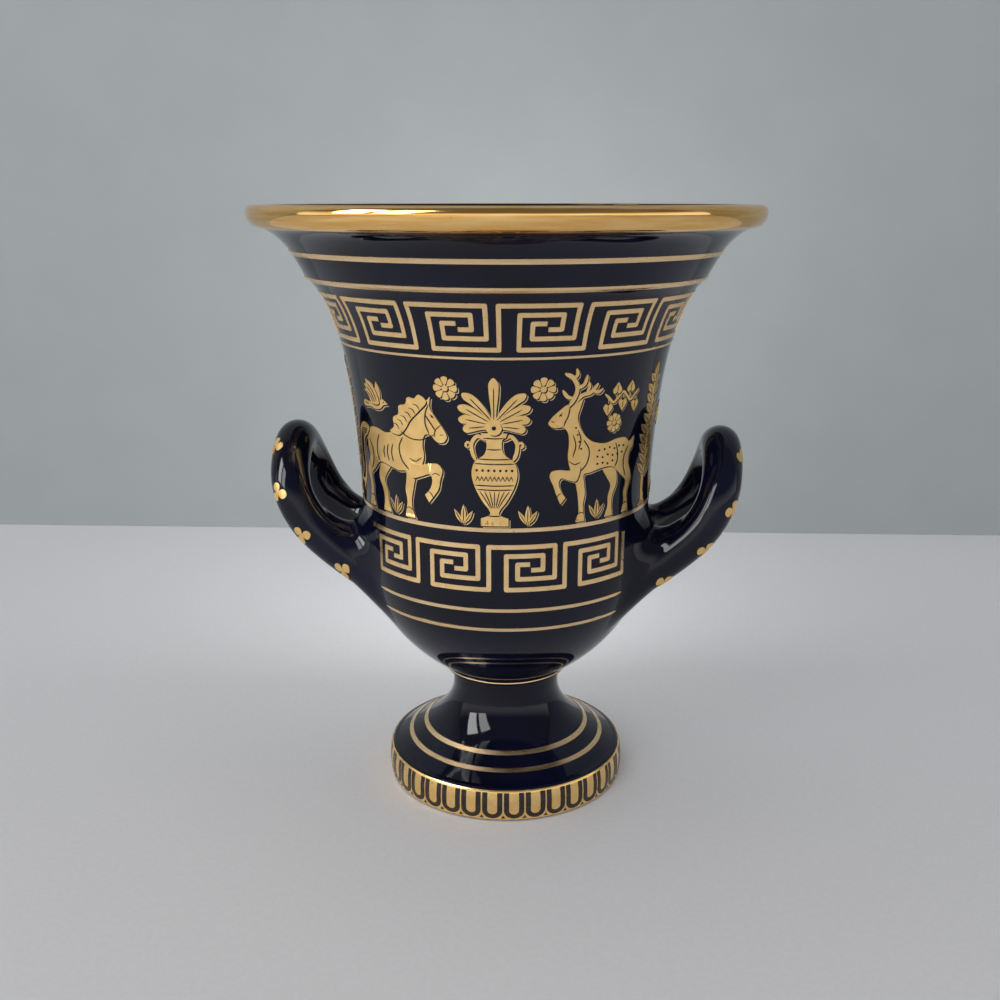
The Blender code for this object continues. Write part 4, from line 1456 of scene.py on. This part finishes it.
# Table, wall, light and camera
# The vase stands on a pale table in front of a plain grey wall, in soft daylight from a window on the left.
# None of this belongs to the vase. The camera stands where the photograph was taken from, a little above
# the rim.
HEIGHT = rim_height
CAMERA_TURN = math.radians(4.0)
CAMERA_DISTANCE = 1.8765 * HEIGHT
CAMERA_ASIDE = -0.0104 * HEIGHT
CAMERA_HEIGHT = 1.0105 * HEIGHT
CAMERA_PITCH = math.radians(15.14)
CAMERA_LENS = 40.2
CAMERA_NEAREST = 0.01
SENSOR_WIDTH = 36.0
WALL_DISTANCE = 1.496 * HEIGHT
WALL_TURN = math.radians(-2.2)
TABLE_SIZE = 6.0
PAINT_SHADE = 0.975
PAINT_ROUGHNESS = 0.75
TABLE_GRAIN = 700
WALL_GRAIN = 30
TABLE_TONE = (0.75, 0.75, 0.77, 1.0)
WALL_TONE = (0.322, 0.347, 0.359, 1.0)
ROOM_SIDES = (1.05, 1.02, 0.98, 1.0)
ROOM_CEILING = (0.15, 0.15, 0.16, 1.0)
ROOM_SIDES_END = 0.15
ROOM_CEILING_START = 0.45
PANE_WIDTH = 0.25
PANE_HEIGHT = 0.60
PANE_PITCH = 0.33
PANE_POWERS = (5.0, 3.4)
WINDOW_PLACE = Vector((-0.645, -0.468, 0.592))
ROOM_LAMPS = (
    ("ceiling_light", (-0.3, -0.2, 1.5), (0.0, 0.0, 0.0), 3.4, 13.4),
    ("front_light", (-0.35, -1.4, 0.85), (0.0, 0.0, 0.0), 1.6, 13.5),
    ("wall_light", (0.0, 0.08, 0.11), (-0.02, 0.22, 0.08), 0.07, 0.10),
    ("floor_light", (0.0, 0.05, 0.07), (0.0, 0.12, 0.0), 0.03, 0.02),
)


def aim(piece, target):
    """Turns a lamp to face a point."""
    piece.rotation_euler = (Vector(target) - piece.location).to_track_quat("-Z", "Y").to_euler()


def stage_finish(name, tone, grain):
    """Matt paint that can be seen from the front only, so that it never hides the vase from other sides."""
    material, tree, shader = new_finish(name)
    shade = tuple(channel * PAINT_SHADE for channel in tone[:3]) + (1.0,)
    clouds = cloud(tree, lumps_per_metre=grain, detail=5)
    tree.links.new(shades(tree, clouds, ((0.4, shade), (0.6, tone))), shader.inputs["Base Color"])
    shader.inputs["Roughness"].default_value = PAINT_ROUGHNESS
    see_through = tree.nodes.new("ShaderNodeBsdfTransparent")
    either = tree.nodes.new("ShaderNodeMixShader")
    side = tree.nodes.new("ShaderNodeNewGeometry")
    tree.links.new(side.outputs["Backfacing"], either.inputs["Fac"])
    tree.links.new(shader.outputs["BSDF"], either.inputs[1])
    tree.links.new(see_through.outputs["BSDF"], either.inputs[2])
    tree.links.new(either.outputs["Shader"], tree.nodes["Material Output"].inputs["Surface"])
    return material


def flat_sheet(name, material):
    """A large flat square for the table or the wall, not attached to the vase."""
    flesh = bmesh.new()
    bmesh.ops.create_grid(flesh, x_segments=1, y_segments=1, size=TABLE_SIZE / 2)
    piece = link_mesh(name, flesh, material)
    return piece


flat_sheet("table_top", stage_finish("table_paint", TABLE_TONE, TABLE_GRAIN))
room_wall = flat_sheet("room_wall", stage_finish("wall_paint", WALL_TONE, WALL_GRAIN))
room_wall.rotation_euler = (math.pi / 2, 0.0, CAMERA_TURN + WALL_TURN)
room_wall.location = (-WALL_DISTANCE * math.sin(CAMERA_TURN), WALL_DISTANCE * math.cos(CAMERA_TURN), 0.0)

world = bpy.data.worlds.new("daylight")
world.use_nodes = True
bpy.context.scene.world = world
room = world.node_tree
room_way = room.nodes.new("ShaderNodeTexCoord")
room_axes = room.nodes.new("ShaderNodeSeparateXYZ")
room.links.new(room_way.outputs["Generated"], room_axes.inputs["Vector"])
room_stops = ((ROOM_SIDES_END, ROOM_SIDES), (ROOM_CEILING_START, ROOM_CEILING))
room_tone = shades(room, room_axes.outputs["Z"], room_stops)
room.links.new(room_tone, room.nodes["Background"].inputs["Color"])


def soft_lamp(name, place, target, width, tall, power):
    """A flat lamp that faces a point."""
    lamp = bpy.data.lights.new(name, "AREA")
    lamp.shape = "RECTANGLE"
    lamp.size = width
    lamp.size_y = tall
    lamp.energy = power
    stand = bpy.data.objects.new(name, lamp)
    bpy.context.scene.collection.objects.link(stand)
    stand.location = place
    aim(stand, target)
    return stand


vase_middle = Vector((0.0, 0.0, HEIGHT / 2))
window_way = (vase_middle - WINDOW_PLACE).normalized()
window_side = window_way.cross(Vector((0.0, 0.0, 1.0))).normalized()
for pane, power in enumerate(PANE_POWERS):
    shift = window_side * PANE_PITCH * (pane - (len(PANE_POWERS) - 1) / 2)
    place, target = WINDOW_PLACE + shift, vase_middle + shift
    window_pane = soft_lamp("window_pane", place, target, PANE_WIDTH, PANE_HEIGHT, power)
    window_pane.visible_diffuse = False
for lamp_name, place, target, size, power in ROOM_LAMPS:
    room_lamp = soft_lamp(lamp_name, place, target, size, size, power)
    room_lamp.visible_glossy = False
    room_lamp.visible_camera = False

view = bpy.data.cameras.new("photo_view")
view.sensor_width = SENSOR_WIDTH
view.sensor_fit = "HORIZONTAL"
view.lens = CAMERA_LENS
view.clip_start = CAMERA_NEAREST
camera = bpy.data.objects.new("photo_view", view)
bpy.context.scene.collection.objects.link(camera)
turn_cos, turn_sin = math.cos(CAMERA_TURN), math.sin(CAMERA_TURN)
camera.location = (
    CAMERA_ASIDE * turn_cos + CAMERA_DISTANCE * turn_sin,
    CAMERA_ASIDE * turn_sin - CAMERA_DISTANCE * turn_cos,
    CAMERA_HEIGHT,
)
camera.rotation_euler = (math.pi / 2 - CAMERA_PITCH, 0.0, CAMERA_TURN)
bpy.context.scene.camera = camera
